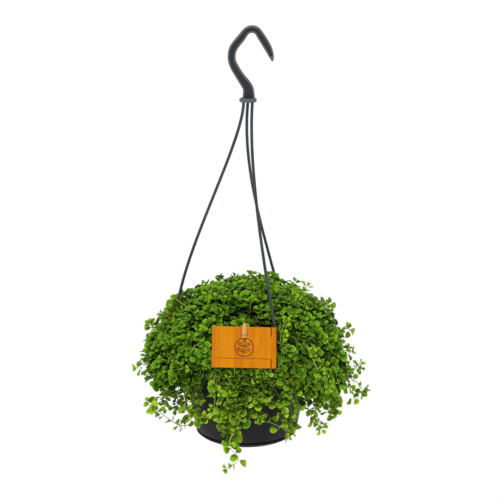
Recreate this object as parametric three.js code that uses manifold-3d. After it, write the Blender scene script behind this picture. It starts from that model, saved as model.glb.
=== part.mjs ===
// Small-leaved trailing pilea in a hanging pot: a plastic hook, three plastic strands, a pot with
// its clip-on drip tray, potting soil, a leafy crown with stems that trail over the rim, and a
// wooden tag with a mini peg. Millimetres, +Z up, the viewer looks along +Y. The origin is the
// seat of the hook, where it bears on a rail.

import * as THREE from 'three';
import { mergeVertices } from 'three/addons/utils/BufferGeometryUtils.js';
import Module from 'manifold-3d';

const wasm = await Module();
wasm.setup();

// Clearance between neighbouring pieces
const GAP = 0.35;

// Pot: the rim's top face is the zero height of the pot's own frame
const POT_CENTRE = [-6, 0, -305];
const POT = {
  rimRadius: 78,
  rimInner: 68.4,
  flange: 1.8,
  lipDrop: 6,
  lipWall: 1.2,
  wallTop: 70.4,
  wall: 1.8,
  footCentre: 41,
  footRadius: 13,
  height: 108,
  drainRadius: 4,
  drainCircle: 28,
  drainCount: 4,
  clipHole: 4.2,
};
// Facets round the pot and its tray
const TURNS = 26;
const TRAY = { gap: 0.5, wall: 1.5, rimAngle: 42, stud: 3.5, head: 4.9, headHeight: 1.5 };
const SOIL = { top: -9, mound: 0.6, pocket: 6, pocketTop: -103.6 };

// Hook: stations along the centre line as x, z and half the width
const HOOK_STATIONS = [
  [-3.4, -64, 5.6],
  [-4.9, -54, 4.7],
  [-11.6, -43.8, 4.2],
  [-16.9, -35.2, 4.0],
  [-20.1, -23, 3.9],
  [-18.6, -16.2, 4.0],
  [-10.9, -5.8, 3.9],
  [-5.3, 1.2, 3.3],
  [-0.1, 3.35, 3.35],
  [4.7, 1.7, 3.5],
  [11.7, -8.6, 3.8],
  [16.1, -16.6, 3.5],
  [18.7, -23.4, 2.5],
  [19.8, -28.2, 0.9],
];
const HOOK = { thickness: 7, recess: 1.9, rib: 1.35, samples: 22, recessStart: 0.13, recessEnd: 0.93 };
const COLLAR = { x: -4.2, radius: 8.6, neck: 5.2, top: -61.5, bottom: -68.5 };
const SOCKET = { circle: 5, radius: 1.9, depth: 4.6 };

// Strands: azimuths of the socket and the lug, and Bezier handles between them in the object's frame
const STRAND = { radius: 1.5, knob: 2.4, knobLength: 3, hole: 2.0, lugCircle: 73 };
const STRANDS = [
  { name: 'strand_left', socket: -60, lug: -93.5, leave: [-9.5, -3, -114], arrive: [-81, 5, -238] },
  { name: 'strand_front', socket: 60, lug: 26.5, leave: [-5, -5.5, -139], arrive: [15.8, -78.3, -245] },
  { name: 'strand_back', socket: 180, lug: 146.5, leave: [-12, 7, -146], arrive: [19.4, 58, -234] },
];

// Wooden tag and its peg
const TAG = {
  width: 63,
  height: 40,
  thickness: 1.4,
  centre: [-8, -80.6, -296.3],
  yaw: 8,
  lean: 24,
  roll: 3.7,
  slit: 1,
  slitLength: 9,
  slitInset: 6,
  windowWidth: 4.2,
  windowHeight: 4.6,
};
const PEG = { tipWidth: 3.6, width: 5.6, length: 16, thickness: 2, rise: 4.5, springDrop: 8.4, x: 1.2 };
const SPRING = { bore: 1.9, radius: 1.5, coil: 3.2 };

// Leafy crown: an ellipsoid of leaves round a smaller twiggy core
const CROWN = {
  centreZ: -32,
  reach: 106,
  topReach: 89,
  frontFlattening: 0.2,
  coreDepth: 7,
  lumps: 5,
  shoots: 120,
  lowest: -0.15,
  rosette: 11.6,
  skirt: -46,
  skirtRadius: 96,
  waist: -28,
  waistRadius: 85,
  mouthRadius: 84,
  frontHem: 5,
  frontCut: -72,
  frontEdge: 50,
};
// Shoots that droop over the rim where the crown is flat in front, by azimuth
const FRINGE = { azimuths: [-38, 40], reach: 86, height: -5, root: 64, rootHeight: 14 };
// How far a leaf's edge stands above its shoot's centre, as a share of its length
const LEAF_RISE = 0.2;
const LEAF = { length: 8.8, width: 7.4, thickness: 1.3 };
const TWIG = { radius: 0.95, sides: 4, spacing: 18, tip: 7.4 };
// Trailing stems stand in holes in the soil and bend over the rim: radius and height on the way
const STEM = {
  circle: 62,
  margin: 5,
  hole: 1.5,
  holeBottom: -26,
  overRim: [[62, -20], [62, -5], [66.5, 1.8], [76.5, 2.4], [80.6, -1.6], [81, -9]],
  bareInFront: 42,
  bareAtSide: 82,
};
// Rooted stems that carry the crown
const ROOT = { count: 4, circle: 34, radius: 2, bottom: -24, firstAzimuth: 20 };

// Stems that trail in front, in the pot's frame: rim azimuth in degrees, then points on the way
const FRONT_STEMS = [
  {
    rim: 2,
    points: [[7.7, -84.5, -24], [1.7, -82, -45.6], [-6.1, -82, -63.7], [-15.7, -80, -86.4],
      [-12, -80, -101], [-14, -78.5, -116]],
  },
  { rim: -20, points: [[-31.2, -83, -22.9], [-25.6, -80, -45.7], [-20, -76, -78]] },
  {
    rim: -28.5,
    points: [[-38, -74, -22], [-35, -68, -45], [-36, -61, -66], [-50.3, -55, -73], [-61, -52, -63]],
  },
  {
    rim: -56,
    points: [[-67, -45, -28], [-60, -41, -62], [-55, -39, -83], [-64, -39, -89], [-74.2, -40, -78],
      [-86, -42, -73.6]],
  },
  { rim: -79, points: [[-80, -16, -32], [-81, -16, -56], [-88, -17, -71], [-100, -20, -70]] },
  { rim: 53, points: [[64, -49, -26], [66, -50, -48], [70, -50, -70], [76.3, -50, -88]] },
  { rim: 15, points: [[19, -82, -18], [17, -83, -38], [29.3, -80, -51], [37, -78, -59]] },
  { rim: 8.5, points: [[11.5, -78, -20], [8, -75, -44], [12, -72, -66], [28.6, -70, -75], [45, -64, -86]] },
  { rim: -11, points: [[-16, -82, -20], [-14, -83, -38], [-9, -80, -58]] },
  { rim: 31.5, points: [[44, -68, -20], [48, -66, -42], [53, -62, -62]] },
];
// Stems round the sides and the back drift as they fall: radius, height and share of the drift on
// the way, then the rim azimuth and the fall of each
const SIDE_DRIFT = 10;
const SIDE_WAY = [[81.5, -24, 0], [83, -44, 0.2], [90, -58, 0.6]];
const SIDE_TIP_RADIUS = 94;
const SIDE_STEMS = [[72, 78], [98, 84], [125, 78], [163, 82], [192, 86], [218, 78], [243, 82]];

// Long shoots that leave the crown itself, in the pot's frame
const CROWN_SPRIGS = [
  [[40, -60, 22], [58, -82, 6], [67, -80, -10], [75, -77, -24], [84, -74, -33]],
  [[86, -27, -14], [104, -30, -24], [112, -30, -48], [117, -30, -66]],
  [[-86, -28, -12], [-102, -33, -22], [-107, -36, -36]],
  [[68, 6, 18], [90, 10, 31], [100, 10, 33]],
];

const DEGREE = Math.PI / 180;

const MATERIALS = {
  hanger: new THREE.MeshStandardMaterial({ color: 0x3f4a4e, roughness: 0.5, metalness: 0 }),
  pot: new THREE.MeshStandardMaterial({ color: 0x34333a, roughness: 0.5, metalness: 0 }),
  soil: new THREE.MeshStandardMaterial({ color: 0x2b1f17, roughness: 0.95, metalness: 0 }),
  crown: new THREE.MeshStandardMaterial({ color: 0x4f9a2c, roughness: 0.6, metalness: 0 }),
  trailing: new THREE.MeshStandardMaterial({ color: 0x7ab636, roughness: 0.6, metalness: 0 }),
  tag: new THREE.MeshStandardMaterial({ color: 0xd9841c, roughness: 0.7, metalness: 0 }),
  peg: new THREE.MeshStandardMaterial({ color: 0xdcb98a, roughness: 0.75, metalness: 0 }),
  wire: new THREE.MeshStandardMaterial({ color: 0x9a9a98, roughness: 0.35, metalness: 1 }),
};

// A seeded draw between 0 and 1 for a whole number
function draw(seed) {
  const wave = Math.sin(seed * 12.9898 + 4.1414) * 43758.5453;
  return wave - Math.floor(wave);
}

// A point given by radius, azimuth from the front and height in the pot's frame
function around(radius, azimuth, height) {
  return new THREE.Vector3(
    radius * Math.sin(azimuth * DEGREE),
    -radius * Math.cos(azimuth * DEGREE),
    height,
  );
}

function toWorld(point) {
  return new THREE.Vector3(...POT_CENTRE).add(point);
}

// Closed geometry to a solid: shared corners are merged and slivers at poles are dropped
function solidOf(geometry) {
  const bare = geometry.index ? geometry.toNonIndexed() : geometry.clone();
  bare.deleteAttribute('normal');
  bare.deleteAttribute('uv');
  const merged = mergeVertices(bare, 1e-4);
  const index = merged.index.array;
  const faces = [];
  for (let i = 0; i < index.length; i += 3) {
    const [a, b, c] = [index[i], index[i + 1], index[i + 2]];
    if (a !== b && b !== c && c !== a) faces.push(a, b, c);
  }
  return solidFrom(merged.attributes.position.array, faces);
}

function solidFrom(vertices, faces) {
  const mesh = new wasm.Mesh({
    numProp: 3,
    vertProperties: new Float32Array(vertices),
    triVerts: new Uint32Array(faces),
  });
  return new wasm.Manifold(mesh);
}

// The largest body of a solid, without loose scraps and sealed pockets
function mainBody(solid) {
  const bodies = solid.decompose().sort((a, b) => b.volume() - a.volume());
  return bodies[0];
}

function geometryOf(solid) {
  const mesh = solid.getMesh();
  const geometry = new THREE.BufferGeometry();
  geometry.setAttribute('position', new THREE.BufferAttribute(mesh.vertProperties, 3));
  geometry.setIndex(new THREE.BufferAttribute(mesh.triVerts, 1));
  geometry.computeVertexNormals();
  return geometry;
}

function union(solids) {
  return solids.reduce((sum, solid) => sum.add(solid));
}

// A profile of radius and height pairs, turned about +Z
function revolve(profile, segments) {
  const points = profile.map(([radius, height]) => new THREE.Vector2(radius, height));
  const geometry = new THREE.LatheGeometry(points, segments);
  geometry.rotateX(Math.PI / 2);
  return solidOf(geometry);
}

function cylinder(radius, bottom, top, centre, sides = 12) {
  const geometry = new THREE.CylinderGeometry(radius, radius, top - bottom, sides);
  geometry.rotateX(Math.PI / 2);
  geometry.translate(centre.x, centre.y, (top + bottom) / 2);
  return solidOf(geometry);
}

// A smooth curve whose steps fall on the given points, however far apart they are
class StationCurve extends THREE.CatmullRomCurve3 {
  getUtoTmapping(u) {
    return u;
  }
}

// A round bar of few sides along a smooth curve through the given points
function bar(points, radius, sides) {
  const ring = new THREE.Shape();
  for (let i = 0; i < sides; i += 1) {
    const angle = (i / sides) * 2 * Math.PI;
    const corner = [radius * Math.cos(angle), radius * Math.sin(angle)];
    if (i === 0) ring.moveTo(...corner);
    else ring.lineTo(...corner);
  }
  ring.closePath();
  const extrudePath = new StationCurve(points, false, 'centripetal');
  const steps = points.length - 1;
  return solidOf(new THREE.ExtrudeGeometry(ring, { steps, extrudePath, curveSegments: 1 }));
}

// Points of an arc in a profile plane, angles in degrees from the first axis
function arc(centre, radius, from, to, steps) {
  const points = [];
  for (let i = 0; i <= steps; i += 1) {
    const angle = (from + ((to - from) * i) / steps) * DEGREE;
    points.push([centre[0] + radius * Math.cos(angle), centre[1] + radius * Math.sin(angle)]);
  }
  return points;
}

// Pot, tray and soil share the same round foot
const footZ = -(POT.height - POT.footRadius);
const wallTilt = Math.atan((POT.wallTop - POT.footCentre - POT.footRadius) / (-footZ + POT.flange)) / DEGREE;

function footArc(radius, steps = 3) {
  return arc([POT.footCentre, footZ], radius, -90, -wallTilt, steps);
}

// Radius of the pot's tapered wall at a height, set in from the outer face by a distance
function wallRadius(height, inset) {
  const tilt = wallTilt * DEGREE;
  const tangentX = POT.footCentre + POT.footRadius * Math.cos(tilt);
  const tangentZ = footZ - POT.footRadius * Math.sin(tilt);
  return tangentX + (height - tangentZ) * Math.tan(tilt) - inset / Math.cos(tilt);
}

function makePot() {
  const { rimRadius, rimInner, flange, lipDrop, lipWall, wall, height, clipHole } = POT;
  const outer = footArc(POT.footRadius);
  const inner = footArc(POT.footRadius - wall).reverse();
  let pot = revolve([
    [clipHole, -height],
    ...outer,
    [wallRadius(-flange, 0), -flange],
    [rimRadius - lipWall, -flange],
    [rimRadius - lipWall, -lipDrop],
    [rimRadius, -lipDrop],
    [rimRadius, -0.7],
    [rimRadius - 0.7, 0],
    [rimInner, 0],
    ...inner,
    [clipHole, -height + wall],
    [clipHole, -height],
  ], TURNS);
  for (let i = 0; i < POT.drainCount; i += 1) {
    const centre = around(POT.drainCircle, 45 + (i * 360) / POT.drainCount, 0);
    pot = pot.subtract(cylinder(POT.drainRadius, -height - 1, -height + wall + 1, centre));
  }
  for (const strand of STRANDS) {
    const centre = around(STRAND.lugCircle, strand.lug, 0);
    pot = pot.subtract(cylinder(STRAND.hole, -flange - 1, 1, centre, 10));
  }
  return pot;
}

function makeTray() {
  const innerRadius = POT.footRadius + TRAY.gap;
  const outerRadius = innerRadius + TRAY.wall;
  const floor = footZ - innerRadius;
  const headBase = -POT.height + POT.wall + GAP;
  return revolve([
    [0, floor - TRAY.wall],
    ...arc([POT.footCentre, footZ], outerRadius, -90, -TRAY.rimAngle, 3),
    ...arc([POT.footCentre, footZ], innerRadius, -90, -TRAY.rimAngle, 3).reverse(),
    [TRAY.stud, floor],
    [TRAY.stud, headBase],
    [TRAY.head, headBase],
    [TRAY.stud, headBase + TRAY.headHeight],
    [0, headBase + TRAY.headHeight],
  ], TURNS);
}

// Potting soil that fills the pot, with a pocket over the tray's stud and holes for the stems
function makeSoil(stemAzimuths) {
  const inset = POT.wall + GAP;
  const body = revolve([
    [0, SOIL.pocketTop],
    [SOIL.pocket, SOIL.pocketTop],
    [SOIL.pocket, -POT.height + inset],
    ...footArc(POT.footRadius - inset),
    [wallRadius(SOIL.top, inset), SOIL.top],
    [STEM.circle - STEM.margin, SOIL.top + SOIL.mound],
    [0, SOIL.top + SOIL.mound],
  ], TURNS);
  const holes = stemAzimuths.map((azimuth) => {
    const centre = around(STEM.circle, azimuth, 0);
    return cylinder(STEM.hole, STEM.holeBottom, 0, centre, 5);
  });
  const roots = rootCentres().map((centre) => cylinder(ROOT.radius + GAP, ROOT.bottom - GAP, 0, centre, 6));
  return body.subtract(union([...holes, ...roots]));
}

// Hook: an I-section bar of varying width, with its collar
function hookSide(curve, widths, from, to, inset, samples) {
  const left = [];
  const right = [];
  for (let i = 0; i <= samples; i += 1) {
    const t = from + ((to - from) * i) / samples;
    const point = curve.getPoint(t);
    const half = widths.getPoint(t).y - inset;
    const tangent = curve.getTangent(t);
    left.push(new THREE.Vector2(point.x - tangent.y * half, point.y + tangent.x * half));
    right.push(new THREE.Vector2(point.x + tangent.y * half, point.y - tangent.x * half));
  }
  return new THREE.Shape([...left, ...right.reverse()]);
}

// A flat shape in X and Z, given thickness along Y about a middle plane
function slab(shape, middle, thickness) {
  const geometry = new THREE.ExtrudeGeometry(shape, { depth: thickness, bevelEnabled: false });
  geometry.rotateX(Math.PI / 2);
  geometry.translate(0, middle + thickness / 2, 0);
  return solidOf(geometry);
}

function makeHook() {
  const curve = new THREE.SplineCurve(HOOK_STATIONS.map(([x, z]) => new THREE.Vector2(x, z)));
  const widths = new THREE.SplineCurve(HOOK_STATIONS.map(([, , half], i) => new THREE.Vector2(i, half)));
  const blade = hookSide(curve, widths, 0, 1, 0, HOOK.samples);
  const recess = hookSide(curve, widths, HOOK.recessStart, HOOK.recessEnd, HOOK.rib, HOOK.samples - 4);
  const face = HOOK.thickness / 2;
  let hook = slab(blade, 0, HOOK.thickness);
  hook = hook.subtract(slab(recess, -face, 2 * HOOK.recess));
  hook = hook.subtract(slab(recess, face, 2 * HOOK.recess));

  const { radius, neck, top, bottom } = COLLAR;
  const collar = revolve([
    [0, top],
    [neck, top],
    [radius - 1.3, top - 2.1],
    [radius, top - 3.4],
    [radius, bottom + 0.6],
    [radius - 0.6, bottom],
    [0, bottom],
  ].reverse(), 16).translate([COLLAR.x, 0, 0]);
  hook = hook.add(collar);
  for (const strand of STRANDS) {
    const centre = socketCentre(strand);
    hook = hook.subtract(cylinder(SOCKET.radius, bottom - 1, bottom + SOCKET.depth, centre, 10));
  }
  return hook;
}

function socketCentre(strand) {
  return around(SOCKET.circle, strand.socket, 0).add(new THREE.Vector3(COLLAR.x, 0, 0));
}

function lugCentre(strand) {
  return toWorld(around(STRAND.lugCircle, strand.lug, 0));
}

// The strand's line from its socket in the collar, through its hole in the rim
function strandPoints(strand) {
  const socket = socketCentre(strand).setZ(COLLAR.bottom);
  const lug = lugCentre(strand);
  const start = socket.clone().setZ(COLLAR.bottom + SOCKET.depth - GAP);
  const curve = new THREE.CubicBezierCurve3(
    socket,
    new THREE.Vector3(...strand.leave),
    new THREE.Vector3(...strand.arrive),
    lug,
  );
  const end = lug.clone().setZ(lug.z - POT.flange - GAP - 0.5);
  return [start, ...curve.getPoints(12), end];
}

function makeStrand(strand) {
  const end = lugCentre(strand);
  const knobTop = end.z - POT.flange - GAP;
  const knob = revolve([
    [0, knobTop - STRAND.knobLength],
    [STRAND.knob * 0.6, knobTop - STRAND.knobLength],
    [STRAND.knob, knobTop - STRAND.knobLength * 0.4],
    [STRAND.knob, knobTop],
    [0, knobTop],
  ], 8).translate([end.x, end.y, 0]);
  return bar(strandPoints(strand), STRAND.radius, 8).add(knob);
}

// Tag frame: local X to the right, local Z up the board, local Y away from the viewer
function tagMatrix() {
  const turn = new THREE.Matrix4().makeRotationZ(TAG.yaw * DEGREE);
  turn.multiply(new THREE.Matrix4().makeRotationX(-TAG.lean * DEGREE));
  turn.multiply(new THREE.Matrix4().makeRotationY(TAG.roll * DEGREE));
  return new THREE.Matrix4().makeTranslation(...TAG.centre).multiply(turn);
}

function makeTag() {
  const { width, height, slit, slitLength, slitInset } = TAG;
  const right = width / 2;
  const top = height / 2;
  const slitRight = right - slitInset;
  const outline = new THREE.Shape([
    [-right, -top],
    [slitRight - slit, -top],
    [slitRight - slit, -top + slitLength],
    [slitRight, -top + slitLength],
    [slitRight, -top],
    [right, -top],
    [right, top],
    [slitRight, top],
    [slitRight, top - slitLength],
    [slitRight - slit, top - slitLength],
    [slitRight - slit, top],
    [-right, top],
  ].map(([x, z]) => new THREE.Vector2(x, z)));
  const window = new THREE.Path([
    [-1, -1],
    [-1, 1],
    [1, 1],
    [1, -1],
  ].map(([x, z]) => new THREE.Vector2(
    PEG.x + (x * TAG.windowWidth) / 2,
    top - PEG.springDrop + (z * TAG.windowHeight) / 2,
  )));
  outline.holes.push(window);
  return slab(outline, 0, TAG.thickness);
}

// One wooden leg of the peg, with its notch for the spring
function makePegLeg(side) {
  const top = TAG.height / 2 + PEG.rise;
  const half = PEG.width / 2;
  const tip = PEG.tipWidth / 2;
  const bottom = top - PEG.length;
  const notch = top - PEG.rise - PEG.springDrop;
  const outline = new THREE.Shape([
    [-half * 0.8, bottom],
    [half * 0.8, bottom],
    [half, bottom + 1.2],
    [half, notch - 0.9],
    [half - 0.9, notch],
    [half, notch + 0.9],
    [half, top - 5],
    [tip, top - 1],
    [tip * 0.45, top],
    [-tip * 0.45, top],
    [-tip, top - 1],
    [-half, top - 5],
    [-half, notch + 0.9],
    [-half + 0.9, notch],
    [-half, notch - 0.9],
    [-half, bottom + 1.2],
  ].map(([x, z]) => new THREE.Vector2(PEG.x + x, z)));
  const middle = side * (TAG.thickness / 2 + GAP + PEG.thickness / 2);
  const leg = slab(outline, middle, PEG.thickness);
  const groove = new THREE.CylinderGeometry(SPRING.bore, SPRING.bore, PEG.width * 2, 10);
  groove.rotateZ(Math.PI / 2);
  groove.translate(PEG.x, 0, notch);
  return leg.subtract(solidOf(groove));
}

// Coiled body of the spring, which lies through the window between the two legs
function makePegSpring() {
  const notch = TAG.height / 2 - PEG.springDrop;
  const half = SPRING.coil / 2;
  const body = new THREE.LatheGeometry([
    [0, -half],
    [SPRING.radius - 0.5, -half],
    [SPRING.radius, -half + 0.4],
    [SPRING.radius - 0.3, -half * 0.33],
    [SPRING.radius, 0],
    [SPRING.radius - 0.3, half * 0.33],
    [SPRING.radius, half - 0.4],
    [SPRING.radius - 0.5, half],
    [0, half],
  ].map(([radius, height]) => new THREE.Vector2(radius, height)), 8);
  body.rotateZ(Math.PI / 2);
  body.translate(PEG.x, 0, notch);
  return solidOf(body);
}

// Turn that takes +Z to a direction, with a spin about it
function aim(direction, spin) {
  const up = new THREE.Vector3(0, 0, 1);
  const turn = new THREE.Quaternion().setFromUnitVectors(up, direction.clone().normalize());
  return turn.multiply(new THREE.Quaternion().setFromAxisAngle(up, spin));
}

// A shoot tip: four round leaves in two crossed pairs on a slim square stalk
const LOBE = [[-45, 0.4, -0.16], [-25, 0.9, 0], [0, 1, 0], [25, 0.9, 0]];

function makeShoot(position, direction, spin, radius, stalk) {
  const vertices = [[0, 0, -0.06 * radius]];
  for (let lobe = 0; lobe < 4; lobe += 1) {
    const upper = lobe % 2 === 0;
    const size = upper ? 0.88 : 1;
    const lift = upper ? 0.14 : -0.1;
    for (const [angle, reach, drop] of LOBE) {
      const turn = (angle + lobe * 90) * DEGREE;
      const notch = drop < 0;
      const length = radius * reach * (notch ? 0.94 : size);
      const height = radius * (notch ? drop : lift);
      vertices.push([length * Math.cos(turn), length * Math.sin(turn), height]);
    }
  }
  const ringSize = LOBE.length * 4;
  for (const [reach, depth] of [[0.13 * radius, 0.36 * radius], [1.1, stalk]]) {
    for (let i = 0; i < 4; i += 1) {
      const turn = (i * 90 - 45) * DEGREE;
      vertices.push([reach * Math.cos(turn), reach * Math.sin(turn), -depth]);
    }
  }
  const neck = 1 + ringSize;
  const foot = neck + 4;
  const faces = [];
  for (let i = 0; i < ringSize; i += 1) {
    const next = (i + 1) % ringSize;
    const quarter = Math.floor(i / 4);
    const nextQuarter = Math.floor(next / 4);
    faces.push(0, 1 + i, 1 + next);
    faces.push(1 + next, 1 + i, neck + quarter);
    if (quarter !== nextQuarter) faces.push(1 + next, neck + quarter, neck + nextQuarter);
  }
  for (let i = 0; i < 4; i += 1) {
    const next = (i + 1) % 4;
    faces.push(neck + next, neck + i, foot + i);
    faces.push(neck + next, foot + i, foot + next);
  }
  faces.push(foot, foot + 2, foot + 1, foot, foot + 3, foot + 2);
  return placed(vertices, faces, position, aim(direction, spin));
}

function placed(vertices, faces, position, turn) {
  const moved = vertices.flatMap(([x, y, z]) => (
    new THREE.Vector3(x, y, z).applyQuaternion(turn).add(position).toArray()
  ));
  return solidFrom(moved, faces);
}

// One leaf blade along local X, thickest in its middle, with its narrow base at the origin
function makeLeaf(position, turn, scale) {
  const half = LEAF.width / 2;
  const outline = [
    [0.3, 0],
    [LEAF.length * 0.45, -half * 0.86],
    [LEAF.length * 0.86, -half * 0.8],
    [LEAF.length, 0],
    [LEAF.length * 0.86, half * 0.8],
    [LEAF.length * 0.45, half * 0.86],
  ];
  const vertices = outline.map(([x, y]) => [x * scale, y * scale, Math.abs(y) * 0.12]);
  vertices.push([LEAF.length * 0.62 * scale, 0, LEAF.thickness / 2]);
  vertices.push([LEAF.length * 0.62 * scale, 0, -LEAF.thickness / 2]);
  const faces = [];
  for (let i = 0; i < outline.length; i += 1) {
    const next = (i + 1) % outline.length;
    faces.push(i, next, outline.length, next, i, outline.length + 1);
  }
  return placed(vertices, faces, position, turn);
}

// Crown surface: a unit direction gives a point on the ellipsoid, flatter towards the viewer
function crownPoint(unit, reach, topReach) {
  const flat = Math.hypot(unit.x, unit.y);
  const facing = flat > 0 ? Math.max(0, -unit.y / flat) : 0;
  const side = reach * (1 - CROWN.frontFlattening * facing ** 4);
  return new THREE.Vector3(unit.x * side, unit.y * side, CROWN.centreZ + unit.z * topReach);
}

function crownNormal(point) {
  const flat = Math.hypot(point.x, point.y);
  const facing = flat > 0 ? Math.max(0, -point.y / flat) : 0;
  const side = CROWN.reach * (1 - CROWN.frontFlattening * facing ** 4);
  const height = point.z - CROWN.centreZ;
  return new THREE.Vector3(
    point.x / side ** 2,
    point.y / side ** 2,
    height / CROWN.topReach ** 2,
  ).normalize();
}

// Core of twigs: an ellipsoid hollowed over the pot's rim, standing on rooted stems
function rootCentres() {
  const step = 360 / ROOT.count;
  return Array.from({ length: ROOT.count }, (_, i) => around(ROOT.circle, ROOT.firstAzimuth + i * step, 0));
}

function makeCore() {
  const columns = 24;
  const rows = 10;
  const reach = CROWN.reach - CROWN.coreDepth;
  const topReach = CROWN.topReach - CROWN.coreDepth;
  const vertices = [];
  const faces = [];
  for (let row = 1; row < rows; row += 1) {
    const latitude = Math.PI / 2 - (row / rows) * Math.PI;
    for (let column = 0; column < columns; column += 1) {
      const azimuth = ((column + 0.5 * (row % 2)) / columns) * 2 * Math.PI;
      const unit = new THREE.Vector3(
        Math.cos(latitude) * Math.sin(azimuth),
        -Math.cos(latitude) * Math.cos(azimuth),
        Math.sin(latitude),
      );
      const bump = CROWN.lumps * (draw(row * columns + column + 3000) - 0.5);
      vertices.push(...crownPoint(unit, reach + bump, topReach + bump).toArray());
    }
  }
  const top = vertices.length / 3;
  vertices.push(0, 0, CROWN.centreZ + topReach, 0, 0, CROWN.centreZ - topReach);
  for (let row = 0; row < rows - 2; row += 1) {
    const shift = row % 2;
    for (let column = 0; column < columns; column += 1) {
      const next = (column + 1) % columns;
      const upper = row * columns;
      const lower = upper + columns;
      if (shift === 0) {
        faces.push(upper + column, lower + column, upper + next);
        faces.push(upper + next, lower + column, lower + next);
      } else {
        faces.push(upper + column, lower + column, lower + next);
        faces.push(upper + column, lower + next, upper + next);
      }
    }
  }
  const last = (rows - 2) * columns;
  for (let column = 0; column < columns; column += 1) {
    const next = (column + 1) % columns;
    faces.push(top, column, next, top + 1, last + next, last + column);
  }
  const ellipsoid = solidFrom(vertices, faces);
  const foot = SOIL.top + SOIL.mound + 2 * GAP;
  const below = CROWN.centreZ - 2 * topReach;
  const clearance = revolve([
    [0, below],
    [2 * reach, below],
    [2 * reach, CROWN.skirt],
    [CROWN.skirtRadius, CROWN.skirt],
    [CROWN.waistRadius, CROWN.waist],
    [CROWN.mouthRadius, CROWN.frontHem],
    [STEM.circle - STEM.margin, CROWN.frontHem],
    [STEM.circle - STEM.margin, foot],
    [0, foot],
  ], TURNS);
  const depth = CROWN.frontHem - below;
  const frontSpace = new THREE.BoxGeometry(3 * reach, reach, depth);
  frontSpace.translate(0, CROWN.frontCut - reach / 2, CROWN.frontHem - depth / 2);
  const roots = rootCentres().map((centre) => cylinder(ROOT.radius, ROOT.bottom, 0, centre, 6));
  return ellipsoid.subtract(clearance).subtract(solidOf(frontSpace)).add(union(roots));
}

// How far a shoot has to sink so that it passes behind a line such as a strand, or 0
function sinkBehindLine(position, normal, radius, line) {
  let sink = 0;
  for (const point of line) {
    const offset = point.clone().sub(position);
    const height = offset.dot(normal);
    const sideways = Math.sqrt(Math.max(0, offset.lengthSq() - height * height));
    if (sideways < radius + STRAND.radius && height > -CROWN.topReach / 2) {
      sink = Math.max(sink, radius * LEAF_RISE + STRAND.radius + 2 * GAP - height);
    }
  }
  return sink;
}

function sinkBehindTag(position, radius, inverse) {
  const local = toWorld(position).applyMatrix4(inverse);
  const beside = Math.abs(local.x) > TAG.width / 2 + radius;
  const above = Math.abs(local.z) > TAG.height / 2 + radius;
  if (beside || above) return 0;
  return Math.max(0, TAG.thickness / 2 + PEG.thickness + radius * LEAF_RISE + 2 * GAP - local.y);
}

function makeCrown() {
  const lines = STRANDS.map((strand) => (
    new THREE.CatmullRomCurve3(strandPoints(strand)).getPoints(160)
      .map((point) => point.sub(new THREE.Vector3(...POT_CENTRE)))
  ));
  const inverse = tagMatrix().invert();
  const golden = Math.PI * (3 - Math.sqrt(5));
  const pieces = [makeCore()];
  for (let i = 0; i < CROWN.shoots; i += 1) {
    const height = 1 - ((i + 0.5) / CROWN.shoots) * (1 - CROWN.lowest);
    const flat = Math.sqrt(1 - height * height);
    const azimuth = i * golden + (draw(i) - 0.5) * 0.12;
    const unit = new THREE.Vector3(flat * Math.sin(azimuth), -flat * Math.cos(azimuth), height);
    const position = crownPoint(unit, CROWN.reach, CROWN.topReach);
    const normal = crownNormal(position);
    const low = position.z < CROWN.frontHem + 3;
    if (low && position.y < CROWN.frontCut && Math.abs(position.x) > CROWN.frontEdge) {
      position.y = CROWN.frontCut - CROWN.coreDepth;
      normal.set(0.3 * Math.sign(position.x), -1, 0).normalize();
    }
    const radius = CROWN.rosette * (0.86 + 0.28 * draw(i + 500));
    const lift = draw(i + 900) > 0.9 ? 4.5 : (draw(i + 1300) - 0.6) * 3.5;
    position.addScaledVector(normal, lift);
    const front = low && Math.abs(position.x) < CROWN.frontEdge && position.y < 0;
    const sinks = lines.map((line) => sinkBehindLine(position, normal, radius, line));
    const sink = Math.max(...sinks, sinkBehindTag(position, radius, inverse));
    const reachesCore = Math.hypot(position.x, position.y) > 80 || position.z > CROWN.frontHem;
    position.addScaledVector(normal, -sink);
    const overRimFace = Math.hypot(position.x, position.y) < POT.rimRadius + radius && position.z < radius;
    if (!front && sink < 8 && reachesCore && !overRimFace) {
      const tilt = new THREE.Vector3(draw(i + 100) - 0.5, draw(i + 200) - 0.5, draw(i + 300) - 0.35);
      const direction = normal.clone().addScaledVector(tilt, 0.55);
      const spin = draw(i + 400) * Math.PI;
      const stalk = CROWN.coreDepth + lift - sink + 3;
      pieces.push(makeShoot(position, direction, spin, radius, Math.max(stalk, radius * 0.6)));
    }
  }
  for (const azimuth of FRINGE.azimuths) {
    const position = around(FRINGE.reach, azimuth, FRINGE.height);
    const direction = position.clone().sub(around(FRINGE.root, azimuth, FRINGE.rootHeight));
    const stalk = direction.length();
    pieces.push(makeShoot(position, direction, azimuth, CROWN.rosette, stalk));
  }
  for (const [index, sprig] of CROWN_SPRIGS.entries()) {
    const points = sprig.map((point) => new THREE.Vector3(...point));
    pieces.push(leafyStem(points, CROWN.coreDepth, 5000 + index * 50, []));
  }
  let crown = union(pieces);
  for (const strand of STRANDS) {
    const centre = new THREE.Vector3(...POT_CENTRE);
    const points = strandPoints(strand).map((point) => point.sub(centre));
    points.splice(0, points.length / 2);
    crown = crown.subtract(bar(points, STRAND.radius + 2 * GAP, 6));
  }
  return mainBody(crown);
}

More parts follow.
